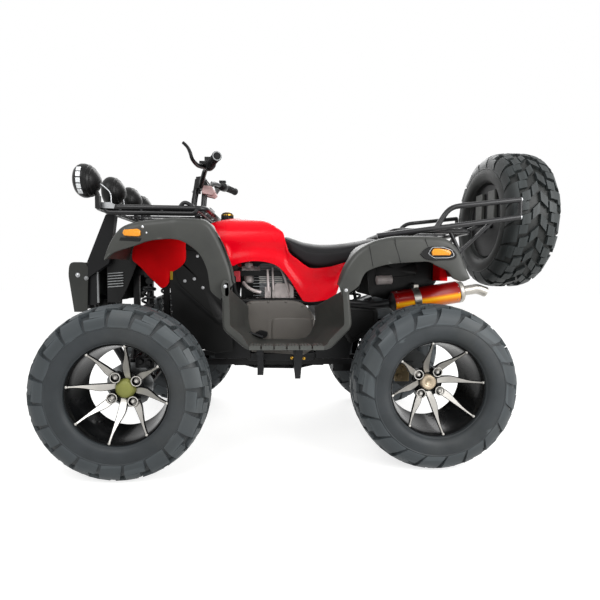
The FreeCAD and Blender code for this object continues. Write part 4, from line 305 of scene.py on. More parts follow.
def bolt(x, y, z, radius=5.0, way=(0, -1, 0), height=4.0):
    """A domed bolt head with its washer."""
    return turned([(-2.0, radius * 1.5), (0.6, radius * 1.5), (0.9, radius), (height * 0.7, radius),
                   (height, radius * 0.6)], (x, y, z), way, 10)


def flipped(parts):
    """The same parts on the machine's other side."""
    return [(np.asarray(verts, float) * (1, -1, 1), [list(poly)[::-1] for poly in polys]) for verts, polys in parts]


def both(parts):
    """The parts and their mirror image."""
    return list(parts) + flipped(parts)


def moved(parts, x, y, z, spin=0.0, yaw=0.0):
    """Parts spun about the axle, yawed about Z and put in place, with both turns in radians."""
    result = []
    for verts, faces in parts:
        v = np.asarray(verts, float).reshape(-1, 3)
        c, s = math.cos(spin), math.sin(spin)
        v = np.stack([v[:, 0] * c - v[:, 2] * s, v[:, 1], v[:, 0] * s + v[:, 2] * c], 1)
        c, s = math.cos(yaw), math.sin(yaw)
        v = np.stack([v[:, 0] * c - v[:, 1] * s, v[:, 0] * s + v[:, 1] * c, v[:, 2]], 1)
        result.append((v + (x, y, z), faces))
    return result


def spun(parts, angle):
    """Parts turned about the axle so that +X goes towards +Z by the angle."""
    return moved(parts, 0, 0, 0, angle)


# Materials

def linear(code):
    """An sRGB hex colour as linear RGBA."""
    srgb = np.array([int(code[i:i + 2], 16) for i in (0, 2, 4)]) / 255.0
    value = np.where(srgb <= 0.04045, srgb / 12.92, ((srgb + 0.055) / 1.055) ** 2.4)
    return (*value.tolist(), 1.0)


def add(tree, kind, links=(), **settings):
    """One node with its settings; links maps an input's name or number to an output socket."""
    node = tree.nodes.new(kind)
    for key, value in settings.items():
        if key.startswith("in_"):
            name = key[3:].replace("_", " ")
            socket = node.inputs[int(name)] if name.isdigit() else node.inputs[name]
            socket.default_value = value
        else:
            setattr(node, key, value)
    for key, output in dict(links).items():
        tree.links.new(output, node.inputs[key])
    return node


# what the surfaces share: scale of the broad noise, strength of the grain, roughness of a clear coat, and dust
BROAD_SCALE, BUMP_STRENGTH, COAT_ROUGHNESS, PLASTIC_IOR, DUST = 9.0, 0.35, 0.04, 1.5, "8a857b"


def finish(name, base, rough, metal=0.0, grain=2.0, height=0.15, vary=0.08, dark=None, coat=0.0,
           stretch=(1, 1, 1), spots=0.0, wear=None, spec=0.3):
    """A surface of one substance: base colour varied by broad noise, fine grain bump in mm, worn or dusty edges.

    grain is the grain's size in mm, height its depth in mm, vary the share by which the broad noise changes colour,
    dark the second colour, spots the share of pale dust, wear a colour that shows on convex edges, and stretch the
    scale of the noise along each axis.
    """
    material = bpy.data.materials.new(name)
    material.use_nodes = True
    tree = material.node_tree
    shader = tree.nodes["Principled BSDF"]
    place = add(tree, "ShaderNodeTexCoord").outputs["Object"]
    mapping = add(tree, "ShaderNodeMapping", {0: place}, in_Scale=stretch).outputs[0]
    broad = add(tree, "ShaderNodeTexNoise", {"Vector": mapping}, in_Scale=BROAD_SCALE, in_Detail=4.0).outputs["Fac"]
    fine = add(tree, "ShaderNodeTexNoise", {"Vector": mapping}, in_Scale=1000.0 / grain / 3,
               in_Detail=3.0).outputs["Fac"]
    second = dark or "%02x%02x%02x" % tuple(int(int(base[i:i + 2], 16) * (1 - 3 * vary)) for i in (0, 2, 4))
    ramp = add(tree, "ShaderNodeMapRange", {"Value": broad}, in_1=0.35, in_2=0.7).outputs[0]
    colour = add(tree, "ShaderNodeMix", {0: ramp}, data_type="RGBA", in_6=linear(base),
                 in_7=linear(second)).outputs[2]
    if wear:
        point = add(tree, "ShaderNodeNewGeometry").outputs["Pointiness"]
        edge = add(tree, "ShaderNodeMapRange", {"Value": point}, in_1=0.52, in_2=0.6, in_4=0.7).outputs[0]
        colour = add(tree, "ShaderNodeMix", {0: edge, 6: colour}, data_type="RGBA", in_7=linear(wear)).outputs[2]
    if spots:
        dust = add(tree, "ShaderNodeTexNoise", {"Vector": mapping}, in_Scale=3.0, in_Detail=8.0,
                   in_Roughness=0.7).outputs["Fac"]
        mask = add(tree, "ShaderNodeMapRange", {"Value": dust}, in_1=0.5, in_2=0.75, in_4=spots).outputs[0]
        colour = add(tree, "ShaderNodeMix", {0: mask, 6: colour}, data_type="RGBA", in_7=linear(DUST)).outputs[2]
    tree.links.new(colour, shader.inputs["Base Color"])
    gloss = add(tree, "ShaderNodeMapRange", {"Value": broad}, in_1=0.3, in_2=0.7, in_3=max(rough - 0.06, 0.02),
                in_4=min(rough + 0.07, 1.0)).outputs[0]
    tree.links.new(gloss, shader.inputs["Roughness"])
    bump = add(tree, "ShaderNodeBump", {"Height": fine}, in_Strength=BUMP_STRENGTH,
               in_Distance=height / 1000.0).outputs[0]
    tree.links.new(bump, shader.inputs["Normal"])
    shader.inputs["Metallic"].default_value = metal
    if not metal:
        shader.inputs["IOR"].default_value = PLASTIC_IOR
        shader.inputs["Specular IOR Level"].default_value = spec
    shader.inputs["Coat Weight"].default_value = coat
    shader.inputs["Coat Roughness"].default_value = COAT_ROUGHNESS
    return material


# moulded tyre rubber: a fine matt skin, bluish dark grey, with pale dust in places
RUBBER = finish("tyre rubber, moulded", "33373a", 0.5, grain=0.9, height=0.06, vary=0.06, spots=0.08, wear="53595c")
# ribbed grip rubber: darker and more matt than the tyres
GRIP_RUBBER = finish("grip rubber, moulded", "141415", 0.62, grain=0.7, height=0.1, vary=0.05, spec=0.2)
# grained ABS of the wings: charcoal with soft broad highlights and paler worn edges
GREY_ABS = finish("wing plastic, grained", "3d3e3b", 0.42, grain=0.9, height=0.04, vary=0.05,
                  wear="5c5e5b", spec=0.35)
# black ABS of guards and bezels: deep, with a low sheen
BLACK_ABS = finish("black moulded plastic", "0f0f0f", 0.34, grain=1.0, height=0.04, vary=0.06, wear="2a2b2b",
                   spec=0.2)
# injection moulded gloss ABS: an even red under a clear shine
RED_ABS = finish("red gloss plastic", "f4001c", 0.24, grain=8.0, height=0.02, vary=0.02, coat=0.06, spec=0.14)
# the same plastic left unpolished inside the arches: flat, without reflections
RED_MATT = finish("red matt plastic", "ff0812", 0.55, grain=1.2, height=0.03, vary=0.03, spec=0.08)
# pressed vinyl cover: fine leather grain with a faint bloom
VINYL = finish("seat vinyl, grained", "202022", 0.52, grain=1.4, height=0.12, vary=0.04, spec=0.15)
# powder coat on the frame: satin black with a slight orange peel
BLACK_PAINT = finish("black powder coat", "0e0e0f", 0.34, grain=0.8, height=0.03, vary=0.06, wear="2b2c2e",
                     spec=0.2)
# tube paint of the racks: smoother, with long highlights along each tube
RACK_PAINT = finish("satin black tube paint", "111112", 0.26, grain=0.8, height=0.015, vary=0.05, wear="3a3a3c",
                    spec=0.3)
# sand cast aluminium: dull grey with a rough skin
CAST = finish("cast aluminium", "8d8f90", 0.4, metal=1.0, grain=0.8, height=0.1, vary=0.08)
# blackened finned casting: dark with bright worn fin edges
FIN_CAST = finish("blackened finned casting", "2b2d30", 0.42, metal=0.5, grain=0.8, height=0.08, vary=0.06,
                  wear="c9cdd0")
# painted engine cover: mid grey, soft gloss
COVER_PAINT = finish("grey engine paint", "6b6762", 0.42, grain=1.2, height=0.04, vary=0.03, spec=0.3)
# brushed stainless steel: streaks round the part, bright
STEEL = finish("brushed stainless steel", "b0aca5", 0.35, metal=1.0, grain=0.5, height=0.02, vary=0.04,
               stretch=(0.08, 1, 1))
# zinc plated steel: cool pale grey
ZINC = finish("zinc plated steel", "c0c2c4", 0.3, metal=1.0, grain=0.7, height=0.02, vary=0.05)
# diamond turned aluminium of the blades: near white with fine tool marks
MACHINED = finish("machined aluminium", "cfccc6", 0.34, metal=0.55, grain=0.5, height=0.015, vary=0.04)
# gloss black wheel enamel: streaked reflections in the deep dish
RIM_BLACK = finish("gloss black wheel enamel", "0d0e0f", 0.25, grain=3.0, height=0.015, vary=0.04, coat=0.1, spec=0.15)
# pressed olive plastic of the front hub caps: soft, matt, a little translucent in look
OLIVE = finish("olive moulded cap", "a3a55a", 0.4, grain=1.0, height=0.03, vary=0.05)
# anodised rear hub caps: a warm pale metal with a satin skin
CHAMPAGNE = finish("champagne anodised cap", "c9b79d", 0.36, metal=0.35, grain=0.8, height=0.03, vary=0.05)
# raw bronze toned casting of the rear caliper: rough and brown
CALIPER = finish("bronze cast caliper", "8d7a55", 0.48, metal=0.3, grain=1.0, height=0.1, vary=0.08)
# clear anodised orange aluminium; on the silencer its colour is painted by height: a painted yellow highlight band and,
# on the upper half, a painted dark red reflection of the red panel above
ORANGE = finish("orange anodised aluminium", "f2860c", 0.28, grain=0.7, height=0.015, vary=0.04,
                dark="de5a04", stretch=(0.15, 1, 1), coat=0.05, spec=0.2)
# turn lamp lens: clear amber plastic, wet looking
AMBER = finish("amber lens", "f8a01a", 0.15, grain=6.0, height=0.05, vary=0.03, coat=0.6)
# vacuum chromed lamp bowl: a hard mirror behind the glass
CHROME = finish("chromed lamp reflector", "dcdedf", 0.12, metal=1.0, grain=4.0, height=0.02, vary=0.03)
# milky light blocks of the lamps: nearly white, glossy
WHITE_LENS = finish("white lamp lens", "f0f3f5", 0.12, grain=5.0, height=0.04, vary=0.03, coat=0.5)
# brass coloured plating on the cap ring and the sump bolts: small warm glints
GOLD = finish("gold plated cap ring", "c79a3c", 0.3, metal=1.0, grain=0.8, height=0.03, vary=0.05)
# enamel dab on the spring collars: a flat warm yellow
YELLOW = finish("yellow collar paint", "c9a51c", 0.35, grain=1.0, height=0.03, vary=0.05)
# pale rose anodising on the bar clamp: soft pinkish metal
ROSE = finish("rose anodised clamp", "c8a6a4", 0.42, metal=0.2, grain=0.8, height=0.02, vary=0.05)
# bead blasted alloy of small castings: pale, warm and dull
ALLOY = finish("bead blasted alloy", "e6dcda", 0.5, metal=0.1, grain=0.8, height=0.06, vary=0.08, dark="a09896")
# unused rubber of the spare: a deeper brown black than the road tyres
SPARE_RUBBER = finish("tyre rubber, unused", "222423", 0.5, grain=0.9, height=0.06, vary=0.05, wear="3c4142")
# soft pink red moulding of the relay in the engine window
PINK = finish("relay plastic, moulded", "cc3c46", 0.45, grain=1.0, height=0.03, vary=0.04)
# oiled steel of the rear disc, axle and chain: dark, with a dull metal shine
DARK_STEEL = finish("oiled dark steel", "4a4c4c", 0.42, metal=0.6, grain=0.7, height=0.03, vary=0.06)
# the guard plate's plastic: the wings' grain in a deeper charcoal
GUARD_ABS = finish("guard plastic, grained", "2a2b28", 0.45, grain=0.9, height=0.04, vary=0.05, wear="474946", spec=0.3)
# plain mild steel sheet with a light grey coat, as on small brackets
PLATE = finish("grey coated sheet steel", "9a9c9d", 0.4, metal=0.3, grain=1.0, height=0.03, vary=0.05)


def painted_highlight_and_reflection(material, start, end, height):
    """A tube's colour painted by its height over its own axis: orange darkening towards the bottom, a painted yellow
    highlight band, and above it a painted dark red reflection of the red panel.

    The axis runs from start to end in layout mm; the height is z less the axis's z at the same x, over its radius.
    """
    tree = material.node_tree
    place = add(tree, "ShaderNodeTexCoord").outputs["Object"]
    parts = add(tree, "ShaderNodeSeparateXYZ", {0: place})
    slope = (end[2] - start[2]) / (end[0] - start[0])
    axis = add(tree, "ShaderNodeMath", {0: parts.outputs[0]}, operation="MULTIPLY_ADD", in_1=slope,
               in_2=(start[2] - slope * (start[0] + SHIFT)) / 1000).outputs[0]
    over = add(tree, "ShaderNodeMath", {0: parts.outputs[2], 1: axis}, operation="SUBTRACT").outputs[0]
    share = add(tree, "ShaderNodeMapRange", {"Value": over}, in_1=-height / 1000, in_2=height / 1000).outputs[0]
    ramp = add(tree, "ShaderNodeValToRGB", {0: share})
    # from the bottom up: darker orange, orange, a painted yellow highlight, orange, then the painted reflection of the
    # red panel over the top half
    painted_light_stops = ((0.0, "a04404"), (0.25, "e87a08"), (0.42, "ffc020"), (0.5, "e06a0a"), (0.56, "960400"), (1.0, "6e0002"))
    for k, (where, code) in enumerate(painted_light_stops):
        stop = ramp.color_ramp.elements[k] if k < 2 else ramp.color_ramp.elements.new(where)
        stop.position, stop.color = where, linear(code)
    # a new stop sorts itself in, so places and colours are set once more in order
    for stop, (where, code) in zip(ramp.color_ramp.elements, painted_light_stops):
        stop.position, stop.color = where, linear(code)
    tree.links.new(ramp.outputs[0], tree.nodes["Principled BSDF"].inputs["Base Color"])


def dress(material, *names):
    """CAD nodes that keep their shape get a material in each of their slots."""
    for name in names:
        node = NODES[name]
        if not node.material_slots:
            node.data.materials.append(material)
        for slot in node.material_slots:
            slot.material = material


dress(BLACK_PAINT, "foot_levers", "frame", "suspension_arms", "swingarm", "knuckle_left", "knuckle_right")
dress(ZINC, "tie_rod_left", "tie_rod_right")
dress(DARK_STEEL, "rear_axle", "chain")
dress(CAST, "hub_front_left", "hub_front_right")


# Tyres

# shares of the section, from the tread's middle to the bead, between which two fine ribs rise on the side wall
RIB_SHARES = [0.603, 0.612, 0.622, 0.631, 0.915, 0.925, 0.94, 0.95]
RIB_HEIGHTS = [0, 1.6, 1.6, 0, 0, 1.6, 1.6, 0]
# steps about the axle, the hollow spare's wall and the radius that closes a road tyre's casing
CASING_TURNS, CASING_WALL, CASING_INNER = 120, 11.0, 176.0
# lugs about the axle, how deep they start inside the casing and how far each side leans in
LUG_PITCHES, LUG_FOOT, LUG_TAPER = 20, 3.0, 1.4


def tyre_half(width):
    """Half of the casing's section from the tread's middle to the bead, as (across, radius), its share and normal."""
    half, top = width / 2, TYRE_RADIUS
    points = [(0.0, top - 13.5), (0.30, top - 14.0), (0.55, top - 18), (0.74, top - 27), (0.87, top - 42),
              (0.95, top - 62), (0.99, top - 86), (0.985, top - 106), (0.93, 194), (0.84, 185), (0.74, 181.5),
              (0.66, 178)]
    line = smooth_path([(a * half, r) for a, r in points], 12)
    length = np.concatenate([[0], np.cumsum(np.linalg.norm(np.diff(line, axis=0), axis=1))])
    wanted = np.unique(np.concatenate([np.linspace(0, 1, 36), RIB_SHARES]))
    line = np.stack([np.interp(wanted * length[-1], length, line[:, k]) for k in range(2)], 1)
    step = unit(np.gradient(line, axis=0))
    normal = np.stack([-step[:, 1], step[:, 0]], 1)
    return line, wanted, -normal if normal[0, 1] < 0 else normal


def tyre_parts(width, hooked=False, hollow=False):
    """A casing turned from its section, with rows of lugs that follow the section round the shoulder.

    A lug is a strip of stations along the section; its two sides lie at given turns about the axle, and its top is
    the section moved out along its own normal by the lug's height, which falls off down the side wall.
    """
    half, share, normal = tyre_half(width)
    proud = np.interp(share, RIB_SHARES, RIB_HEIGHTS)
    shaped = half + normal * proud[:, None]
    section = np.vstack([shaped[::-1] * (-1, 1), shaped[1:]])
    if hollow:
        inner = half - normal * CASING_WALL
        section = np.vstack([section, inner[::-1], inner[1:] * (-1, 1)])
    else:
        section = np.vstack([section, [(width / 4, CASING_INNER), (-width / 4, CASING_INNER)]])
    turn = np.linspace(0, 2 * np.pi, CASING_TURNS, endpoint=False)
    across, radius = section.T
    casing = np.stack([radius * np.cos(turn)[:, None], np.broadcast_to(across, (CASING_TURNS, len(section))),
                       radius * np.sin(turn)[:, None]], -1)
    parts = [grid(casing, close_u=True, close_v=True)]
    pitch = 2 * np.pi / LUG_PITCHES

    def lug(side, s0, s1, left, right, tall, low, steps):
        """One lug: the turns of both edges, in pitches, and its height run from their values at s0 to those at s1."""
        t = np.linspace(0, 1, steps)
        s = s0 + (s1 - s0) * t
        base = np.stack([np.interp(s, share, half[:, k]) for k in range(2)], 1)
        out = unit(np.stack([np.interp(s, share, normal[:, k]) for k in range(2)], 1))
        a = np.interp(t, np.linspace(0, 1, len(left)), left) * pitch
        b = np.interp(t, np.linspace(0, 1, len(right)), right) * pitch
        top = base + out * (tall + (low - tall) * t)[:, None]
        foot = base - out * LUG_FOOT
        inset = LUG_TAPER / TYRE_RADIUS
        verts = np.zeros((steps, 4, 3))
        for column, (pts, where) in enumerate(((foot, a), (top, a + inset), (top, b - inset), (foot, b))):
            verts[:, column] = np.stack([pts[:, 1] * np.cos(where), pts[:, 0] * side, pts[:, 1] * np.sin(where)], 1)
        return capped(verts)

    bow = (0.0, 0.02, 0.10, 0.26) if hooked else (0.0, 0.01, 0.02, 0.04)
    back = tuple(b + w for b, w in zip(bow, (0.78, 0.84, 0.89, 0.91)))
    # where a row starts and ends along the section, both edges, both heights, stations, its first pitch, every how many
    rows = ((0.012, 0.135, (0.02, 0.30), (0.48, 0.78), 13.5, 13.5, 4, 0, 1),
            (0.165, 0.30, (0.46, 0.58), (0.93, 1.03), 13.5, 13.5, 4, 0, 1),
            (0.20, 0.33, (-0.02, 0.0), (0.36, 0.42), 13.5, 13.0, 4, 0, 1),
            (0.335, 0.60, bow, back, 13.0, 1.2, 9, 0, 2),
            (0.335, 0.43, bow[:2], (0.60, 0.61), 13.0, 10.4, 4, 1, 2),
            (0.43, 0.60, bow[1:], back[1:], 10.2, 1.2, 7, 1, 2))
    for side, shift in ((LEFT, 0.0), (RIGHT, pitch / 2)):
        for *shape, first, every in rows:
            one = lug(side, *shape)
            for index in range(first, LUG_PITCHES, every):
                parts += spun([one], index * pitch + shift)
    return parts


def tyres():
    """The four road tyres and the hollow spare."""
    front = tyre_parts(FRONT_WIDTH)
    rear = tyre_parts(REAR_WIDTH, hooked=True)
    spare = moved(tyre_parts(REAR_WIDTH, hooked=True, hollow=True), *SPARE, yaw=math.pi / 2)
    for side, name in ((LEFT, "left"), (RIGHT, "right")):
        piece("tyre_tread_front_" + name, moved(front, FRONT_X, side * FRONT_Y, AXLE_Z, spin=0.1), RUBBER,
              "wheel_front_" + name, smooth=28, bevel=1.2, segments=1, replaces=["tyre_front_" + name])
    pair = [part for y in (-REAR_Y, REAR_Y) for part in moved(rear, REAR_X, y, AXLE_Z, spin=0.05)]
    piece("tyre_treads_rear", pair, RUBBER, "rear_axle", smooth=28, bevel=1.2, segments=1, replaces=["tyres_rear"])
    piece("spare_tyre_tread", spare, SPARE_RUBBER, smooth=28, bevel=1.2, segments=1, replaces=["spare_tyre"])


# Alloy wheels

# how many blades and nuts a wheel has, and the radius at which its nuts stand
BLADES, NUTS, NUT_CIRCLE = 8, 4, 54


def blade(disc_y, tip_y):
    """One turbine blade along +X: a black body and the machined face on it.

    Its straight edge lies on the clockwise side; the other edge follows a width that stays near 27 mm to the middle
    and then falls to 8 mm, and its height climbs from the disc to the lip with a shallow hollow.
    """
    s = np.linspace(0, 1, 17)
    r = 38 + 134 * s
    y = disc_y - 12 + (tip_y - disc_y + 12) * s ** 1.25
    wide = np.interp(s, [0, 0.10, 0.36, 0.55, 0.72, 0.86, 1.0], [20, 27, 27, 18, 11, 8, 8])
    wide = np.convolve(np.pad(wide, 1, mode="edge"), [0.25, 0.5, 0.25], "valid")
    low = np.interp(s, [0, 0.3, 1.0], [-13, -9, -4.2])
    deep = np.interp(s, [0, 1], [15, 9])

    def bar(grow, front, back):
        """A four sided bar whose section is the blade's width and the depths before and behind its face."""
        corners = np.zeros((len(s), 4, 3))
        for k, (z, depth) in enumerate(((low - grow, front), (low + wide + grow, front), (low + wide + grow, back),
                                        (low - grow, back))):
            corners[:, k] = np.stack([r, y + depth, z], 1)
        return capped(corners)

    body = bar(0.9, np.zeros_like(s), deep)
    face = bar(-1.3, np.full_like(s, -1.6), np.full_like(s, 1.0))
    ball = turned([(-4.5, 1.5), (-3, 4.4), (0, 5.6), (3, 4.4), (4.5, 1.5)], (174, tip_y - 1, low[-1] + wide[-1] / 2),
                  (0, 1, 0), 10)
    return body, [face, ball]


def rim_parts(disc_y, edge, back, tip, nut, dented):
    """A left wheel about the Y axis, outer face on -Y: black parts, bright parts and the cap.

    disc_y is the hub disc's place, which is inboard of the middle; edge and back are the rim's outer and inner half
    widths. tip and nut are the turns of the first blade and the first nut. A dented cap has a hollow middle.
    """
    profile = [(-edge, 179.0), (-edge - 1.5, 177.5), (-edge + 1, 175.5), (-edge + 16, 171.0), (-edge + 42, 168.0),
               (0.1 * back, 164), (0.5 * back, 158), (back - 8, 152), (back, 149), (back, 154), (0.5 * back, 165),
               (-edge + 30, 173), (-edge + 6, 178.5)]
    black = [turned(profile, (0, 0, 0), (0, 1, 0), 96, False)]
    black.append(turned([(-7, 60), (5, 62), (8, 60), (11, 50), (11, 1)], (0, disc_y, 0), (0, -1, 0), 48))
    bright = []
    body, faces = blade(disc_y, -edge + 3)
    for angle in tip + np.arange(BLADES) * 2 * math.pi / BLADES:
        black += spun([body], angle)
        bright += spun(faces, angle)
    for angle in nut + np.arange(NUTS) * 2 * math.pi / NUTS:
        place, out = (NUT_CIRCLE * math.cos(angle), disc_y, NUT_CIRCLE * math.sin(angle)), (0, -1, 0)
        black.append(turned([(0, 19.5), (36, 19.0), (36, 15.5), (20, 13.5), (20, 1)], place, out, 24))
        bright.append(turned([(35.5, 19.8), (37, 19.2), (37, 16.2), (35.5, 15.6)], place, out, 24, False))
        bright.append(turned([(19, 10.5), (30, 10.5), (32, 8.5), (36, 6.0), (36.5, 1)], place, out, 6))
    cap = [(9, 37), (20, 36), (27, 32), (32, 24), (34, 12), (34.5, 0.5)]
    if dented:
        cap = [(9, 32), (24, 31), (28, 29), (29.5, 24), (28.5, 13), (23, 9), (22, 0.5)]
    return black, bright, [turned(cap, (0, disc_y, 0), (0, -1, 0), 40)]


def wheels():
    """Deep dish alloy wheels, with machined blades over gloss black, lug nuts in their cups and domed caps."""
    front = rim_parts(44.5, 68.0, 74.0, math.radians(-9.5), math.radians(35.5), False)
    rear = rim_parts(47.0, 86.0, 94.0, math.radians(8.0), math.radians(53.0), True)
    for side, name in ((LEFT, "left"), (RIGHT, "right")):
        body = "wheel_front_" + name
        place = [moved(parts, FRONT_X, -FRONT_Y, AXLE_Z) for parts in front]
        if side == RIGHT:
            place = [flipped(parts) for parts in place]
        piece("rim_dish_front_" + name, place[0], RIM_BLACK, body, smooth=35, bevel=0.8,
              replaces=["rim_front_" + name])
        piece("rim_blades_front_" + name, place[1], MACHINED, body, smooth=35, bevel=0.5)
        piece("hub_cap_front_" + name, place[2], OLIVE, body, smooth=50)
    place = [moved(parts, REAR_X, -REAR_Y, AXLE_Z) for parts in rear]
    piece("rim_dishes_rear", both(place[0]), RIM_BLACK, "rear_axle", smooth=35, bevel=0.8, replaces=["rims_rear"])
    piece("rim_blades_rear", both(place[1]), MACHINED, "rear_axle", smooth=35, bevel=0.5)
    piece("hub_caps_rear", both(place[2]), CHAMPAGNE, "rear_axle", smooth=50)
    calipers()


def calipers():
    """The brake calipers: one on the rear disc, and one inside each front wheel."""
    rear_caliper = [box(508, 572, -176, -124, 262, 338), rod((524, -184, 284), (524, -116, 284), 13),
                    rod((548, -184, 322), (548, -116, 322), 13), box(516, 552, -126, -98, 292, 336)]
    piece("brake_caliper_rear", rear_caliper, CALIPER, smooth=35, bevel=3.0)
    for side, name in ((LEFT, "left"), (RIGHT, "right")):
        caliper = [box(-556, -486, -446, -400, 384, 424), rod((-536, -456, 408), (-536, -440, 408), 12),
                   rod((-506, -456, 404), (-506, -440, 404), 12), rod((-518, -430, 420), (-500, -392, 446), 5)]
        parts = caliper if side == LEFT else flipped(caliper)
        piece("brake_caliper_front_" + name, parts, BLACK_PAINT, "knuckle_" + name, smooth=35, bevel=2.5)


tyres()
wheels()


# Moulded plastics

WING_Y, WING_CORNER, WING_WALL, WING_LIP = -470.0, 24.0, 3.6, 9.0
WING_BOW = 1.5
FRONT_OUTER = [(-655, 794), (-640, 842), (-618, 886), (-585, 915), (-531, 931), (-448, 941), (-401, 945.5),
               (-353, 944), (-310, 943), (-291, 939), (-271, 922), (-239, 866), (-211, 800), (-196, 754), (-187, 705)]
FRONT_INNER = [(-654, 786), (-619, 815), (-550, 839), (-496, 858), (-427, 866), (-376, 860), (-332, 832),
               (-305, 800), (-286, 753), (-279, 705), (-272, 672), (-239, 642)]
REAR_OUTER = [(206, 702), (220, 745), (239, 784), (268, 822), (303, 850), (345, 871), (395, 884), (440, 889),
              (538, 890), (605, 885), (646, 864), (680, 820), (709, 735)]
REAR_INNER = [(222, 655), (253, 675), (284, 700), (298, 733), (320, 757), (393, 781), (503, 791), (551, 792),
              (578, 779), (623, 758), (646, 731), (684, 719), (709, 729)]


def wing(outer, inner, y_in, fold, centre, rows=72):
    """A left wing: each station runs in over the top, round the outer edge and down the band to the arch.

    The outer and the inner line are walked together by length. At a station n is the way from the outer line to the
    inner one and w the distance; the top is level, the corner a quarter circle, the band bows out by WING_BOW mm,
    with a rolled lip at the arch. y_in gives how far in the top reaches by x, fold how far the band turns in.
    """
    o = spaced(smooth_path(outer, 6), rows)
    inboard = np.interp(o[:, 0], *y_in)
    turn_in = np.interp(o[:, 0], *fold)
    i = spaced(smooth_path(inner, 6), rows)
    w = np.linalg.norm(i - o, axis=1)
    n = (i - o) / np.maximum(w, 1e-6)[:, None]
    radius = np.minimum(WING_CORNER, 0.35 * w)
    top_edge = WING_Y + 30
    columns = [(inboard + (top_edge - inboard) * q, np.zeros(rows)) for q in (0.0, 0.25, 0.5, 0.75, 1.0)]
    for a in np.linspace(0, np.pi / 2, 6):
        columns.append((WING_Y + radius * (1 - np.sin(a)), radius * (1 - np.cos(a))))
    for q in (0.25, 0.45, 0.65, 0.82):
        columns.append((WING_Y - WING_BOW * math.sin(math.pi * q) * np.ones(rows), radius + (w - radius) * q))
    columns += [(np.full(rows, WING_Y), w - 2), (np.full(rows, WING_Y + 1), w),
                (np.full(rows, WING_Y + 1 + WING_LIP), w + 1)]
    points = np.zeros((rows, len(columns), 3))
    for k, (y, down) in enumerate(columns):
        flat = o + n * down[:, None]
        points[:, k] = np.stack([flat[:, 0], y + turn_in * (k > 4), flat[:, 1]], 1)
    return walled(points, WING_WALL, centre)


def wings():
    """Front wings with their cowl, rear wings with the tail sheet, their seams, bolts and marker lamps."""
    left = wing(FRONT_OUTER, FRONT_INNER, ((-300, -262, -187), (-198, -385, -440)),
                ((-540, -402, -396, -187), (0, -15, -15, 28)), (-430, -330, 650))
    cowl = crosswise(spaced(smooth_path(FRONT_OUTER[3:7], 6), 14), 199, 17)
    piece("front_wings", both([left]) + [walled(cowl, 4.0, (-480, 0, 800))], GREY_ABS, smooth=50, bevel=0.8,
          replaces=["front_fenders"])
    left = wing(REAR_OUTER, REAR_INNER, ((179, 250, 320), (-440, -400, -198)), ((179, 709), (0, 0)),
                (470, -330, 650))
    tail = crosswise(spaced(smooth_path(REAR_OUTER[-4:], 6)[:-5], 12), 199, 17)
    piece("rear_wings", both([left]) + [walled(tail, 4.0, (560, 0, 700))], GREY_ABS, smooth=50, bevel=0.8,
          replaces=["rear_fenders"])
    lines = [(320, 852), (324, 830), (336, 770)], [(417, 880), (421, 850), (442, 786)], \
            [(533, 880), (536, 868), (545, 846)]
    seams = [sweep(on_side(smooth_path(line, 5), WING_Y - 1.4), 1.1, 6) for line in lines]
    piece("wing_seams", both(seams), BLACK_ABS)
    rear_bezel = [(514, 819), (532, 842), (560, 851), (626, 849), (654, 826), (655, 806), (636, 799), (560, 796),
                  (530, 803)]
    bezels = [slab([(-600, 858), (-594, 870), (-518, 867), (-526, 855)], WING_Y + 2, WING_Y - 3),
              plate(rear_bezel, 14, WING_Y + 2, WING_Y - 4.5)]
    piece("marker_bezels", both(bezels), BLACK_ABS, bevel=1.5)
    trim = rounded([(545, 822), (558, 846), (600, 847), (634, 836), (645, 814), (620, 807), (566, 806)], 8)
    piece("marker_trims", both([sweep(on_side(trim, WING_Y - 6), 1.2, 6, closed=True)]), ZINC)
    marker_lamps()
    piece("wing_bolts", both([bolt(x, WING_Y - 1, z, 4.5) for x, z in ((-514, 908), (-500, 887))]), ZINC)


def marker_lamps():
    """The amber lenses: an outline in shares of its length and height, domed, with seven fine flutes."""
    blunt = [(0.00, 0.40), (0.06, 0.85), (0.85, 1.00), (1.00, 0.80), (1.00, 0.15), (0.90, 0.00), (0.10, 0.05)]
    tapered = [(0.04, 0.08), (0.00, 0.55), (0.10, 0.96), (0.35, 1.00), (0.88, 0.80), (1.00, 0.45), (0.94, 0.12)]
    lamps = []
    for x, z, length, height, lens in ((-585, 873, 63, 28, blunt), (556, 813, 76, 29, tapered)):
        shape = rounded([(x + a * length, z + b * height) for a, b in lens], 4)
        lamps.append(relief(shape, ((1.0, -471), (1.0, -479), (0.93, -481.5), (0.6, -482.2), (0.05, -482.2))))
        for step in np.linspace(0.15, 0.85, 7):
            flute = x + step * length
            lamps.append(box(flute - 1, flute + 1, -482.8, -480, z + 4, z + height - 3))
    piece("marker_lenses", both(lamps), AMBER, bevel=0.5, replaces=["marker_lamps"])


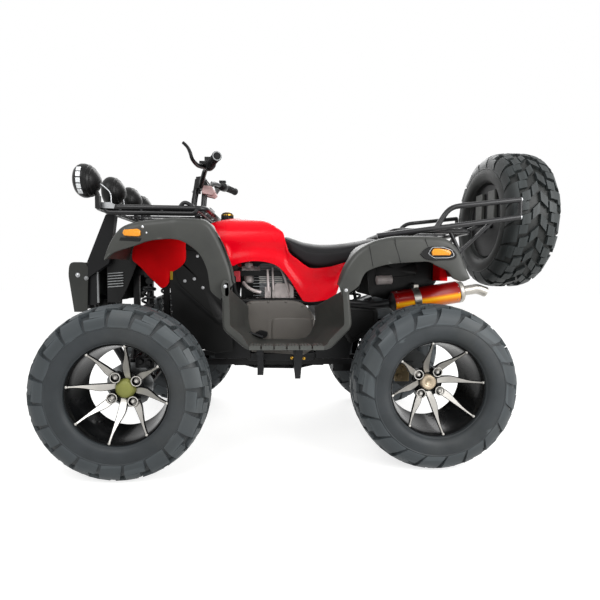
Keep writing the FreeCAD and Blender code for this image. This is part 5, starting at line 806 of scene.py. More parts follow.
def inner_sheets():
    """Red panels inside both arches and the black splash guards, whose outlines follow the shade inside the arches:
    partly guards, partly painted shade.
    """
    front = [(-634, 837), (-638, 794), (-605, 769), (-564, 723), (-514, 672), (-486, 690), (-478, 740), (-440, 762),
             (-412, 790), (-412, 935), (-448, 934), (-531, 924), (-580, 908), (-611, 884)]
    rear = [(374, 740), (384, 650), (470, 628), (600, 646), (676, 700), (690, 735), (688, 780), (672, 820),
            (640, 858), (600, 878), (535, 884), (390, 884)]
    parts = []
    for outline, y, dish in ((front, -206.0, 10.0), (rear, -182.0, 6.0)):
        steps = ((1.0, 5.0), (1.0, 0.0), (0.97, -1.5), (0.8, -dish * 0.6), (0.5, -dish), (0.02, -dish))
        parts.append(relief(rounded(outline, 16, 80), [(k, y + push) for k, push in steps]))
    corner = grid(np.array([[(670, -184, z), (677, -246, z), (705, -250, z), (705, -254, z), (673, -250, z),
                             (666, -184, z)] for z in (716, 760, 806)]), close_v=True)
    piece("arch_panels_red", both([parts[0], corner]), RED_MATT, smooth=60, replaces=["inner_panels"])
    lid = rounded([(404, 738), (410, 792), (500, 800), (586, 792), (592, 742), (500, 732)], 14, 48)
    raised = relief(lid, ((1.0, -180), (1.0, -193), (0.94, -196), (0.02, -196)))
    piece("arch_panels_black", both([parts[1], raised]), BLACK_ABS, smooth=50)
    # the guards follow the outline of the dark shade under the arches and behind the footwell, so their black is partly
    # painted shade
    front = [(-428, 872), (-330, 857), (-275, 794), (-240, 655), (-214, 640), (-214, 514), (-279, 520), (-387, 618),
             (-462, 690), (-484, 740), (-486, 838), (-472, 838), (-440, 780)]
    rear = [(248, 596), (418, 594), (418, 515), (298, 433), (250, 518)]
    rim = ((1.0, -199.9), (1.0, -204.4), (0.96, -205.4), (0.82, -205.4), (0.80, -201.6), (0.02, -201.6))
    shade_guards = [relief(rounded(outline, 20, 60), rim) for outline in (front, rear)]
    piece("splash_sheets_and_shade", both(shade_guards), BLACK_ABS, smooth=50, replaces=["splash_guards"])
    liner = [(-486, 742), (-387, 640), (-279, 520), (-214, 514), (-214, 405), (-290, 395), (-400, 430), (-470, 540)]
    piece("arch_liners", both([plate(liner, 12, -192, -196)]), BLACK_ABS, bevel=1.0)
    places = [(-462, 834), (-363, 814), (-417, 707), (-377, 716), (-341, 679)]
    piece("splash_shield_bolts", both([bolt(x, -204, z, 4.5, height=6) for x, z in places]), ZINC)
    piece("spring_marks", both([box(-478, -467, -210, -203, 712, 748)]), YELLOW, bevel=2.0)


TANK_TOP = [(-330, 950), (-290, 968), (-261, 979), (-215, 992), (-150, 990), (-95, 984), (-58, 966), (-20, 937),
            (3, 915), (24, 838), (64, 804), (100, 777), (131, 765), (211, 774), (288, 797)]
TANK_LOW = [(-330, 946), (-306, 931), (-280, 906), (-260, 883), (-239, 832), (-222, 775), (-183, 786), (-119, 795),
            (-55, 787), (-12, 766), (32, 715), (76, 645), (98, 621), (163, 624), (229, 646), (250, 703), (271, 751),
            (288, 794)]
TANK_HALF, TANK_CREST, TANK_SHOULDER = 195, 992, 881


def tank():
    """The tank cover: a crowned top between soft shoulders, and side panels that sweep down and back.

    Over the top the height is the lower of the side view's line and a shoulder curve that falls from 992 to 881 mm
    as sqrt(1 - |y / 195| ^ 3.4), joined softly over 18 mm. Each side panel hangs from the shoulder to the lower
    line; it is drawn in by up to 9 mm along a hollow that follows the seat.
    """
    top = smooth_path(TANK_TOP, 6)
    low = smooth_path(TANK_LOW, 6)
    x = np.unique(np.concatenate([np.linspace(-330, 288, 84), [-222, 3, 24]]))
    crest = np.interp(x, top[:, 0], top[:, 1])
    foot = np.interp(x, low[:, 0], low[:, 1])
    columns, panel, soft = 15, 11, 18.0
    across = TANK_HALF * np.sin(np.linspace(0, np.pi / 2, columns))
    curve = TANK_SHOULDER + (TANK_CREST - TANK_SHOULDER) * np.sqrt(np.maximum(1 - (across / TANK_HALF) ** 3.4, 0))
    start = np.where(x < 12, 0.0, 150.0)
    points = np.zeros((len(x), columns + panel, 3))
    for k in range(columns):
        y = start + (TANK_HALF - start) * (across[k] / TANK_HALF)
        shoulder = np.interp(y, across, curve)
        blend = np.clip(0.5 + 0.5 * (shoulder - crest) / soft, 0, 1)
        height = shoulder * (1 - blend) + crest * blend - soft * blend * (1 - blend) * 0.5
        points[:, k] = np.stack([x, -y, height], 1)
    edge = points[:, columns - 1, 2]
    foot = np.minimum(foot, edge - 0.5)
    hollow = 9.0 * np.clip((edge - foot - 25) / 90.0, 0, 1)
    for k, q in enumerate(np.linspace(0, 1, panel + 1)[1:]):
        y = -TANK_HALF + hollow * math.sin(math.pi * min(q * 1.25, 1.0)) ** 1.5
        points[:, columns + k] = np.stack([x, y, edge + (foot - edge) * q], 1)
    left = walled(points, 4.0, (-60, 0, 780))
    piece("tank_shell", both([left]), RED_ABS, smooth=55, bevel=0.8, replaces=["tank_cover"])
    fuel_cap()


def fuel_cap():
    """The knurled filler cap on the tank's front slope, with its plated ring and button."""
    place, up = (-258, 0, 986), (0, 0, 1)
    parts = [turned([(-18, 30), (6, 30), (9, 27)], (-258, 0, 988), (0.08, 0, 1), 32),
             turned([(6, 26), (30, 25.5), (36, 22), (38, 8), (38, 1)], place, up, 32)]
    for a in np.linspace(0, 2 * np.pi, 18, endpoint=False):
        x, y = place[0] + 27 * math.cos(a), 27 * math.sin(a)
        parts.append(box(x - 2, x + 2, y - 2, y + 2, 996, 1014))
    piece("fuel_cap", parts, BLACK_ABS, bevel=0.6, replaces=["filler_cap"])
    piece("fuel_cap_ring", [turned([(23, 28.5), (29, 28.5), (29, 25), (23, 25)], place, up, 32, False),
                            turned([(37, 14), (39, 13), (39, 1)], place, up, 24)], GOLD)


SEAT_START, SEAT_LENGTH = 3, 437
SEAT_TOP = [(3, 906), (14, 915), (30, 912), (80, 893), (125, 884), (172, 879), (230, 880), (288, 886), (350, 896),
            (413, 907), (440, 900)]
SEAT_LOW = [(3, 886), (14, 862), (24, 842), (64, 805), (100, 778), (131, 764), (170, 760), (211, 766), (301, 792),
            (399, 846), (440, 868)]
SEAT_HALF = [3, 12, 40, 120, 260, 380, 425, 440], [108, 120, 130, 134, 148, 156, 150, 128]
SEAM_AT = 0.38


def seat():
    """The saddle: a closed crowned form with rounded shoulders, a sewn edge seam and drawn-in sides.

    Each station is a rounded box section |y / a| ^ 3.2 + |z / b| ^ 2.4 = 1, flat below, whose half width a grows
    from the nose to the rear and whose sides pull in by 2.8 % at the seam, two thirds of the way up.
    """
    top = smooth_path(SEAT_TOP, 6)
    low = smooth_path(SEAT_LOW, 6)
    t = np.linspace(0, 1, 64)
    x = SEAT_START + SEAT_LENGTH * (0.5 - 0.5 * np.cos(np.pi * t)) * 0.35 + SEAT_LENGTH * t * 0.65
    z1 = np.interp(x, top[:, 0], top[:, 1])
    z0 = np.interp(x, low[:, 0], low[:, 1])
    half = np.interp(x, *SEAT_HALF)
    turn = np.linspace(0, 2 * np.pi, 56, endpoint=False)
    c, s = np.cos(turn), np.sin(turn)
    wide = np.sign(c) * np.abs(c) ** (2 / 3.2)
    tall = np.where(s > 0, np.abs(s) ** (2 / 2.4), -np.abs(s) ** (2 / 6.0))
    height = ((z0 + z1) / 2)[:, None] + ((z1 - z0) / 2)[:, None] * tall[None]
    pinch = 1 - 0.028 * np.exp(-((tall[None] - SEAM_AT) / 0.10) ** 2)
    crown = np.interp(x, [3, 60, 440], [0.0, 1.0, 1.0])[:, None] * 5.0 * np.cos(np.clip(wide[None], -1, 1) * np.pi / 2)
    rings = np.stack([np.broadcast_to(x[:, None], height.shape), half[:, None] * wide[None] * pinch,
                      height + np.where(s[None] > 0.3, crown - 5.0, 0.0)], -1)
    pad = piece("saddle", [capped(rings)], VINYL, smooth=70, replaces=["seat"])
    more = pad.modifiers.new("soft", "SUBSURF")
    more.levels = more.render_levels = 1
    seam = []
    for side in (LEFT, RIGHT):
        k = int(np.argmin(np.abs(tall - SEAM_AT) + (np.abs(wide * side - 0.95) > 0.2) * 9))
        line = rings[4:-3, k] + (0, side * 1.2, 0)
        seam.append(curved(line[::3], 1.6, 3, 6))
    piece("saddle_seams", seam, BLACK_ABS)


TRAY_EDGE_Y, TRAY_POINTS = -476, 76


def footwell():
    """Both footwells: a U-shaped tray with rounded corners, a turned outer edge, ribbed pads and bolts."""
    line = rounded_path([(-229, 706), (-228, 532), (-139, 455), (176, 455), (260, 541), (246, 692)], 22, 9)
    line = spaced(line, TRAY_POINTS)
    way = unit(np.gradient(line, axis=0))
    inward = np.stack([-way[:, 1], way[:, 0]], 1)
    inward *= np.sign(((np.array([15.0, 600.0]) - line) * inward).sum(1))[:, None]
    t = np.linspace(0, 1, TRAY_POINTS)
    wide = np.interp(t, [0, 0.16, 0.28, 0.38, 0.62, 0.72, 0.84, 1.0], [26, 30, 32, 5, 5, 30, 30, 26])
    narrow = [(-150, 600), (-150, 520), (-118, 455), (112, 455), (148, 530), (142, 600)]
    narrow = spaced(rounded_path(narrow, 46, 9), TRAY_POINTS)
    points = [on_side(narrow + (line - narrow) * q, -206 - 252 * q) for q in (0.0, 0.35, 0.7, 1.0)]
    radius = np.minimum(12.0, wide * 0.5)
    turns = [(radius * (1 - np.cos(a)), TRAY_EDGE_Y + radius * (1 - np.sin(a))) for a in np.linspace(0, np.pi / 2, 5)]
    turns += [(radius + (wide - radius) * q, np.full(TRAY_POINTS, TRAY_EDGE_Y + (3.0 if q == 1.0 else 0.0)))
              for q in (0.4, 0.7, 0.93, 1.0)]
    for down, y in turns:
        flat = line + inward * down[:, None]
        points.append(np.stack([flat[:, 0], y, flat[:, 1]], 1))
    parts = [walled(np.stack(points, 1), 4.0, (15, -340, 560))]
    for x in -128 + 48.0 * np.arange(6):
        parts.append(slab([(x, -422), (x + 42, -422), (x + 42, -478), (x, -478)], 456, 471, "z"))
        parts += [box(x + rib - 2, x + rib + 5, -474, -426, 470, 474) for rib in (8, 19, 30)]
    piece("foot_trays", both(parts), GREY_ABS, smooth=45, bevel=1.4, replaces=["footwells"])
    leaf = smooth_path([(-226, 660), (-232, 690), (-222, 716), (-205, 706), (-200, 676), (-206, 655)], 5)
    flap = slab(spaced(leaf, 26), -458, TRAY_EDGE_Y)
    piece("wing_flaps", both([flap, box(-226, -204, -474, -470, 640, 712)]), GREY_ABS, bevel=1.2)
    piece("tray_bolts", both([bolt(x, TRAY_EDGE_Y - 0.5, z, 4.5) for x, z in ((-216, 694), (234, 682))]), ZINC)


def nose():
    """The fairing behind the guard, its bright slats, and the dark sheet between it and the wing."""
    line = spaced(rounded_path([(-765, 612), (-762, 800), (-700, 846), (-620, 800)], 24), 26)
    points = crosswise(line, 180, 25)
    points[..., 0] += 14 * (np.abs(points[..., 1]) / 180.0) ** 4 * (line[:, :1] < -700)
    cheek = plate([(-750, 612), (-750, 800), (-698, 838), (-618, 796), (-664, 680), (-700, 612)], 8, -175, -180)
    sheet = slab([(-758, 780), (-700, 848), (-604, 878), (-560, 800), (-640, 770)], -146, -150)
    piece("nose_cowl", [walled(points, 4.5, (-690, 0, 680))] + both([cheek]) + both([sheet]), BLACK_ABS, smooth=45,
          bevel=1.5, replaces=["nose_fairing"])
    slats = [slab([(-747, z), (-682, z + 5.5), (-680, z + 9.5), (-746, z + 4.8)], -180.3, -186.3)
             for z in 676 + 11.5 * np.arange(6)]
    piece("nose_slats", both(slats), PLATE, bevel=1.2, replaces=["grille"])


GUARD_HALF, GUARD_TUBE = 219, 17.5


def front_guard():
    """The front guard: a bent plate with rounded cheeks, a second plate behind, leaning pillars and tubes."""
    cheek = [(-874, 574), (-895, 729), (-891, 770), (-880, 783), (-826, 783), (-813, 764), (-820, 574)]
    front = spaced(rounded_path([(-874, 576), (-894, 729), (-890, 768), (-878, 781), (-812, 782)], 12), 26)
    face = crosswise(front, GUARD_HALF, 27)
    face[..., 0] += 10 * (np.abs(face[..., 1]) / GUARD_HALF) ** 6 * (face[..., 2] < 770)
    parts = [walled(face, 5.0, (-840, 0, 680))] + both([plate(cheek, 14, -212, -219.6)])
    piece("guard_plate", parts, GUARD_ABS, bevel=2.0, replaces=["bumper"])
    post = [(-818, 784), (-818, 716), (-728, 779), (-700, 984), (-738, 984)]
    tubes = both([plate(post, 8, -181, -217.6)])
    for side in (LEFT, RIGHT):
        y = side * 112
        tubes.append(bent([(-700, y, 342), (-835, y, 574), (-835, y, 646)], GUARD_TUBE, 60, 16))
        tubes.append(box(-872, -835, y - 9, y + 9, 610, 628))
    tubes.append(rod((-700, -124, 342), (-700, 124, 342), GUARD_TUBE))
    second = [(-826, 600), (-826, 766), (-792, 776), (-783, 760), (-778, 606)]
    tubes += both([plate(second, 12, -196, -203)])
    piece("guard_tubes", tubes, BLACK_PAINT, bevel=1.0)
    strips = both([slab([(-784, 612), (-784, 756), (-779, 756), (-777, 612)], -205, -194)])
    piece("guard_edges", strips, PLATE, bevel=0.8)
    piece("guard_bolts", both([bolt(-856, -GUARD_HALF, 729, 6.5, height=6)]), ZINC)
    piece("guard_studs", both([bolt(-822, -GUARD_HALF, 716, 6)]), PLATE)


# Tube work

RACK_TUBE, RACK_LEG = 11, 8
FRONT_RACK_HALF, FRONT_RACK_Z = 330, 997.0
REAR_RACK_HALF, REAR_RACK_Z = 290, 925.0
REAR_RAIL_Y = 331


def rack_loop(x0, x1, half, z):
    """A rack's outer loop of bent tube."""
    return bent([(x0, -half, z), (x1, -half, z), (x1, half, z), (x0, half, z)], RACK_TUBE, 44, 14, closed=True)


def racks():
    """Front and rear racks of bent tube with flat slats, their hoops, legs and struts."""
    z = FRONT_RACK_Z
    parts = [rack_loop(-735, -307, FRONT_RACK_HALF, z)]
    for y in (55, 150, 240):
        parts += both([box(-733, -309, -y - 8, -y + 8, 1001, 1009)])
    parts.append(rod((-350, -FRONT_RACK_HALF, z), (-350, FRONT_RACK_HALF, z), RACK_TUBE))
    for side in (LEFT, RIGHT):
        y = side * FRONT_RACK_HALF
        parts.append(bent([(-700, y, z - 3), (-691, y, z - 20.3), (-352, y, z - 20.3), (-342, y, z - 3)], 10.5, 12, 14))
        parts.append(bent([(-412, y, z), (-397, y, z + 22), (-381, y, z + 22), (-350, y, z)], RACK_LEG, 12, 12))
        parts += [rod((x, y, z - 12), (x, y, z), 7, 10) for x in (-640, -560, -480)]
    piece("front_rack_tubes", parts, RACK_PAINT, smooth=45, replaces=["front_rack"])
    z = REAR_RACK_Z
    parts = [rack_loop(462, 790, REAR_RACK_HALF, z)]
    parts += [box(464, 788, y - 8, y + 8, 929, 937) for y in (-200, -112, 0, 112, 200)]
    parts.append(rod((570.4, -REAR_RAIL_Y, z), (570.4, REAR_RAIL_Y, z), RACK_TUBE))
    parts.append(rod((740, -REAR_RACK_HALF, 838), (740, REAR_RACK_HALF, 838), RACK_TUBE))
    for side in (LEFT, RIGHT):
        y = side * REAR_RAIL_Y
        parts.append(rod((380, y, 898), (973, y, 982), RACK_TUBE))
        parts.append(bent([(623, y, 932.5), (676, y, 1019), (973, y, 1053)], RACK_TUBE, 40, 14))
        parts.append(rod((973, y, 982), (973, y, 1053), 9))
        leg = side * 112
        parts += [rod((x, leg, 754.5), (x, leg, z), RACK_LEG) for x in (496, 588)]
        y = side * REAR_RACK_HALF
        parts.append(rod((696, y, z), (740, y, 838), RACK_LEG))
        parts.append(rod((742, y, 838), (860, side * 329, 966), RACK_LEG))
        parts.append(rod((740, leg, 838), (790, leg, z), RACK_LEG))
        parts.append(bent([(610.3, leg, 742), (622, leg, 742), (740, leg, 838)], RACK_LEG, 14, 12))
    piece("rear_rack_tubes", parts, RACK_PAINT, smooth=45, replaces=["rear_rack"])
    cap = [(0, 10.5), (4, 10.5), (6, 8), (6, 1)]
    ends = both([turned(cap, (973, -REAR_RAIL_Y, 982), (0.99, 0, 0.14), 16),
                 turned(cap, (973, -REAR_RAIL_Y, 1053), (0.993, 0, 0.114), 16)])
    piece("rack_end_caps", ends, ZINC)


LAMP_Z = 1091.0


def lamp_set():
    """Four round lamps: ribbed black bowls, chromed reflectors with a column of white blocks, and their brackets."""
    shells, bright, lenses, brackets = [], [], [], []
    bowl = [(12, 40), (8, 43), (12, 51), (21, 59), (32, 64), (44, 64), (58, 60), (76, 47), (89, 31), (97, 14), (98, 1)]
    rib = np.array([(58, 57), (60, 60.5), (63, 59), (64, 50)])
    block = [(60, -9.5), (60, 9.5), (66.2, 9), (66.2, -9)]
    for y in (-360, -120, 120, 360):
        outer = abs(y) > 200
        place = np.array([-800.0 if outer else -784.0, y, LAMP_Z])
        shells.append(turned(bowl, place, (1, 0, 0), 40))
        shells += [turned(rib + np.array((11, -8)) * k, place, (1, 0, 0), 40) for k in range(2)]
        bright.append(turned([(7, 1), (8, 24), (12, 40.5)], place, (1, 0, 0), 40))
        for side in (LEFT, RIGHT) if outer else ():
            for angle in np.radians((-48, -28, -8, 12, 32)):
                out = np.array([0.0, side * math.cos(angle), math.sin(angle)])
                across = np.array([0.0, -side * math.sin(angle), math.cos(angle)])
                lenses.append(capped([[place + (x, 0, 0) + out * r + across * w for r, w in block] for x in (29, 45)]))
        shells.append(box(-722, -706, y - 12, y + 12, 986, 1036))
        shells.append(curved([(-714, y, 1030), (-720, y, 1048), (-734, y, 1064)], 10, 4, 10))
        wire = [(-712, y, 1086), (-690, y, 1070), (-668, y, 1046), (-664, y, 1006)]
        if not outer:
            wire = [(-712, y, 1086), (-700, y, 1070), (-694, y, 1040), (-696, y, 1004)]
        brackets.append(curved(wire, 2.4, 6, 8))
    shells.append(box(-721, -708, -368, 368, 986, 998))
    piece("lamp_bowls", shells, BLACK_ABS, smooth=35, bevel=0.8, replaces=["lamps"])
    piece("lamp_rims", bright, CHROME, smooth=50)
    piece("lamp_lenses", lenses, WHITE_LENS, bevel=1.2)
    foot = [(-712, 992), (-660, 990), (-658, 1006), (-672, 1014), (-712, 1014)]
    brackets += [slab(foot, y - 3, y + 3) for y in (-341, 341)]
    piece("lamp_brackets", brackets, ZINC, bevel=0.4)


BAR_END = np.array([-257.0, -385, 1189])
BAR_BEND = np.array([-337.0, -150, 1189])


def steering_gear():
    """Column tubes, handlebar, clamp and meter, all turning with the steering."""
    low, high = np.array([-520.0, 0, 400]), np.array([-371.0, 0, 1128])
    parts = [rod(low, low + (high - low) * 0.85, 13.5, 20), box(-420, -366, -32, 32, 1012, 1023)]
    outer = curved([(-408, -22, 1016), (-412, -22, 1060), (-404, -22, 1112), (-394, -22, 1172)], 9.5, 6, 14)
    parts += both([outer, rod((-371, -22, 1016), (-358, -22, 1172), 9.5, 14)])
    parts.append(slab([(-540, -26), (-440, -24), (-436, 24), (-540, 26)], 392, 400, "z"))
    parts += both([rod((-451.4, -15, 384), (-451.4, -15, 402), 5, 10)])
    piece("steering_stem", parts, RACK_PAINT, "steering", bevel=0.6, replaces=["steering_column"])
    line = rounded_path([(-371, 0, 1139), (-371, -60, 1139), BAR_BEND, BAR_END], 26)
    full = np.vstack([line[::-1], line[1:] * (1, -1, 1)])
    bar = [sweep(full, 10.8, 16), sweep([(-352, -112, 1166), (-358, 0, 1172), (-352, 112, 1166)], 6.5, 10)]
    piece("handlebar_tube", bar, RACK_PAINT, "steering", smooth=45, replaces=["handlebar"])
    bar_ends()
    piece("bar_clamp", both([slab([(-370, 1104), (-322, 1094), (-308, 1106), (-324, 1138), (-364, 1140)], -52, -26)]),
          ROSE, "steering", bevel=3.0)
    piece("column_block", [slab([(-350, 1000), (-322, 998), (-320, 1034), (-332, 1044), (-346, 1040)], -30, 30)], CAST,
          bevel=3.0)


def bar_ends():
    """Ribbed grips with their end rings, switch pods, bent levers and the meter's case."""
    way = unit(BAR_END - BAR_BEND)
    stations = [(-2, 12), (0, 19), (4, 19), (6, 16)]
    for d in 8.5 * np.arange(12):
        stations += [(9 + d, 16.2), (11 + d, 17.6), (14 + d, 17.6), (16 + d, 16.0)]
    stations += [(112, 16), (114, 20), (118, 20), (119, 11.5)]
    grip = turned(stations, BAR_END, -way, 20)
    pod = BAR_END - way * 152
    x, y = pod[:2]
    pods = [turned([(-26, 14), (-24, 21), (-18, 24), (14, 24), (22, 20), (25, 13)], pod, -way, 20),
            box(x - 18, x + 16, y - 16, y + 16, 1192, 1218), box(x - 40, x - 12, y - 12, y + 22, 1176, 1202)]
    lever = smooth_path([pod + (-12, 4, -8), (-330, -262, 1177), (-344, -306, 1172), (-353, -366, 1180),
                         (-359, -380, 1202), (-369, -381, 1222), (-386, -381, 1239)], 6)
    pods.append(sweep(lever, np.interp(np.linspace(0, 1, len(lever)), [0, 0.5, 1], [10, 9, 7.5]), 12, flat=0.8))
    piece("handlebar_grips", both([grip]), GRIP_RUBBER, "steering", replaces=["grips"])
    ring = turned([(-2.6, 17.6), (-3.4, 16.8), (-3.4, 14.4), (-1.5, 14)], BAR_END, -way, 24, False)
    piece("grip_rings", both([ring]), PLATE, "steering")
    controls = both(pods)
    controls.append(slab([(-398, 1128), (-350, 1128), (-344, 1150), (-366, 1184), (-396, 1180)], -40, 40))
    controls.append(rod((-386, -17, 1126), (-386, -17, 1106), 8, 12))
    piece("bar_controls", controls, BLACK_ABS, "steering", bevel=1.2, replaces=["handlebar_controls"])
    bits = [rod(pod + (2, -17, 12), pod + (2, -22, 14), 4, 10)]
    clamp = [bolt(-372, -30, 1152, 6, (0, 0, 1), 7), bolt(-414, -22, 1116, 4, (-1, 0, 0))]
    piece("clamp_bolts", both(bits) + both(clamp), ZINC, "steering")


# Engine and exhaust

SILENCER_START, SILENCER_END = np.array([455.0, -236, 618]), np.array([776.0, -236, 672])
SILENCER_RADIUS, PIPE_RADIUS = 47.6, 16.8


def exhaust():
    """The bent pipe, the anodised silencer with its caps and strap, and the tail pipe."""
    start, end = SILENCER_START, SILENCER_END
    way = unit(end - start)
    length = np.linalg.norm(end - start)
    pipe = [(-87, 17, 757), (-205, 17, 757), (-205, -165, 618), (212, -165, 618), start - way * 51, start]
    # the inlet cone is a real part, but its black paint is painted shade: it stands in for the shade on the silencer's
    # front end
    inlet = turned([(0, 17), (3, 22), (20, 44), (23, 45)], start, way, 40)
    piece("exhaust_tube", [bent(pipe, PIPE_RADIUS, 34, 18), inlet], BLACK_PAINT, smooth=60, replaces=["exhaust_pipe"])
    body = [(22.5, 46), (24, SILENCER_RADIUS), (length - 24, SILENCER_RADIUS), (length - 22.5, 46)]
    # the silencer's colour is painted by height: a yellow painted highlight band and the red panel's painted reflection
    # across its top half
    painted_highlight_and_reflection(ORANGE, start, end, 48)
    piece("silencer_body", [turned(body, start, way, 48)], ORANGE, smooth=60, replaces=["muffler"])
    cap = [(-23, 45), (-20, 47.9), (-6, 47.9), (0, 43), (0, 26), (1.5, 23), (2, 22)]
    tip = smooth_path([end - way * 2, end + way * 40, end + way * 70 - (0, 0, 2), end + way * 109 - (0, 0, 21)], 6)
    centre = start + way * 119
    parts = [turned(cap, end, way, 40),
             sweep(tip, np.interp(np.linspace(0, 1, len(tip)), [0, 0.9, 0.93, 1], [21.5, 21.5, 22.5, 21.5]), 24),
             turned([(-15, 50.5), (-15, 48), (15, 48), (15, 50.5)], centre, way, 48, False),
             box(centre[0] - 10, centre[0] + 10, -247, -228, centre[2] + 46, centre[2] + 62),
             sweep([(centre[0], -238, centre[2] + 56), (centre[0], -180, 706), (centre[0], -116, 720)], 9, 8, flat=0.4)]
    piece("silencer_metal", parts, STEEL, smooth=50, bevel=0.6, replaces=["muffler_ends"])
    rivets = []
    for d in (31, length - 31):
        for a in np.linspace(-1.2, 1.2, 5):
            out = np.array([0, -math.cos(a), math.sin(a)])
            rivets.append(turned([(0, 2.6), (1.6, 1.8), (1.8, 0.4)], start + way * d + 47.4 * out, out, 8))
    piece("silencer_rivets", rivets, ZINC)


def engine_cover():
    """The crankcase's domed side cover with a raised boss, and its ring of bolts."""
    cover = [(0.00, 0.28), (0.10, 0.06), (0.82, 0.00), (0.97, 0.12), (1.00, 0.42), (0.93, 0.74), (0.78, 0.96),
             (0.62, 1.00), (0.06, 0.98), (0.00, 0.90)]
    line = rounded([(-163 + a * 314, 439 + b * 188) for a, b in cover], 30, 96)
    dome = relief(line, ((1.0, -150.5), (1.0, -185), (0.985, -192), (0.95, -196), (0.9, -197.5), (0.5, -197.5),
                         (0.02, -197.5)))
    pill = rounded([(-46, 456), (-46, 536), (-30, 552), (118, 550), (134, 532), (134, 462), (118, 446), (-32, 444)],
                   20, 60)
    boss = relief(pill, ((1.0, -190), (1.0, -203), (0.96, -206), (0.88, -207), (0.02, -207)))
    piece("engine_cover", [dome, boss], COVER_PAINT, smooth=50)
    middle = line.mean(0)
    ring = middle + (line[::9] - middle) * 0.93
    piece("engine_cover_bolts", [bolt(x, -197, z, 4.2) for x, z in ring], COVER_PAINT)


def cylinder():
    """The finned barrel and head on their pale base."""
    wide = [(-133, -92), (70, -92), (70, 92), (-133, 92)]
    fins = [plate(wide, 14, z, z + 3.6, "z") for z in 640 + 13.5 * np.arange(7)]
    fins.append(box(-104, 44, -68, 68, 632, 736))
    narrow = [(-126, -84), (62, -84), (62, 84), (-126, 84)]
    fins += [plate(narrow, 12, z, z + 3.4, "z") for z in 745.0 + 12 * np.arange(3)]
    head = plate([(-112, 738), (-116, 770), (-96, 788), (34, 788), (58, 768), (54, 738)], 10, -62, 62)
    piece("barrel_fins", fins + [head], FIN_CAST, smooth=35, bevel=0.7, replaces=["cylinder"])
    base = [box(-120, 62, -76, 76, 613, 634),
            plate([(-46, 616), (-46, 664), (-30, 698), (34, 698), (52, 680), (52, 616)], 8, -118, -77),
            rod((-20, -124, 640), (-20, -116, 640), 12), rod((24, -124, 640), (24, -116, 640), 9)]
    piece("barrel_base", base, ALLOY, bevel=1.6)


def intake():
    """The carburettor with its pipes and hoses, the relay, the dark backing sheet and the fins' bright edges."""
    throat = [(0, 23), (10, 23), (12, 20), (30, 20), (32, 25), (50, 25), (52, 19), (70, 19), (72, 23), (84, 23)]
    silver = [turned(throat, (-100, -72, 752), (-1, 0, 0), 28),
              turned([(-44, 16), (-38, 22), (-6, 23), (0, 17)], (-152, -72, 742), (0, 0, 1), 24),
              turned([(0, 17), (6, 20), (24, 18), (30, 10)], (-152, -72, 762), (0, 0, 1), 24),
              rod((-152, -72, 786), (-152, -72, 800), 5, 10)]
    piece("carburettor", silver, ALLOY, bevel=0.8)
    pipes = [curved([(-176, -100, 700), (-154, -122, 678), (-126, -128, 664), (-96, -124, 656)], 8, 8),
             curved([(-160, -116, 626), (-120, -124, 624), (-88, -122, 622)], 6.5),
             box(-80, 96, -122, -70, 611, 620), box(-78, -51, -118, -88, 627, 681),
             rod((-66, -120, 760), (-62, -128, 660), 6, 12), rod((-44, -120, 768), (-40, -126, 668), 5, 12),
             curved([(-30, -96, 776), (-4, -124, 756), (18, -130, 700), (28, -122, 660)], 5.5)]
    piece("engine_pipes", pipes, ALLOY, smooth=60)
    hoses = [curved([(-152, -72, 800), (-156, -74, 808), (-176, -90, 826), (-220, -110, 826), (-256, -120, 784)], 5, 8,
                    10),
             curved([(-190, -100, 760), (-214, -128, 720), (-206, -150, 660), (-178, -160, 620)], 9, 8)]
    piece("engine_hoses", hoses, GRIP_RUBBER, smooth=60)
    piece("relay_box", [box(-216, -188, -132, -98, 703, 752)], PINK, bevel=3.0)
    piece("engine_backing", [box(-190, 110, -30, -24, 618, 800)], BLACK_PAINT)
    strips = [box(-106, 0, -94, -90, 700 + 8.5 * k, 702.5 + 8.5 * k) for k in range(4)]
    piece("fin_edges", strips, MACHINED)


def underside():
    """The sump guard, the belly's side sheets with their bolts, and the gear lever."""
    sump = [(-160, 386), (150, 386), (150, 366), (132, 352), (-146, 352), (-160, 366)]
    piece("sump_guard", [slab(sump, -148, 148)], BLACK_PAINT, bevel=3.0)
    sides = [slab([(-300, 362), (-140, 362), (-140, 456), (-222, 536), (-300, 548)], -152, -147),
             slab([(150, 362), (300, 362), (322, 452), (262, 476), (150, 452)], -152, -147)]
    piece("belly_sides", both(sides), BLACK_PAINT, bevel=1.5)
    piece("sump_bolts", both([bolt(45, -147.5, 364, 4.5), bolt(99, -147.5, 362, 4.5)]), GOLD)
    lever = plate([(-126, 436), (-120, 484), (-94, 498), (-62, 490), (-66, 468), (-88, 460), (-98, 436)], 8, -196, -214)
    piece("gear_lever", [lever], BLACK_PAINT, bevel=1.5)


def damper(foot, head, radius=27, wire=5.5, turns=7.5):
    """A spring round a damper: the parts of the damper with both spring seats, and the coil."""
    foot, head = np.asarray(foot, float), np.asarray(head, float)
    way = head - foot
    seat_low, seat_high = foot + way * 0.16, foot + way * 0.90
    eye = [(-12, 14), (12, 14)]
    body = [rod(foot, foot + way * 0.55, 15, 16), rod(foot + way * 0.5, head, 8, 12),
            turned([(-4, 18), (-4, radius + 3), (3, radius + 3), (5, 20)], seat_low, way, 24),
            turned([(-5, 20), (-3, radius + 3), (4, radius + 3), (4, 18)], seat_high, way, 24),
            turned(eye, foot, (0, 1, 0), 16), turned(eye, head, (0, 1, 0), 16)]
    return body, coil(seat_low + way * 0.01, seat_high - way * 0.01, radius - 2, wire, turns)


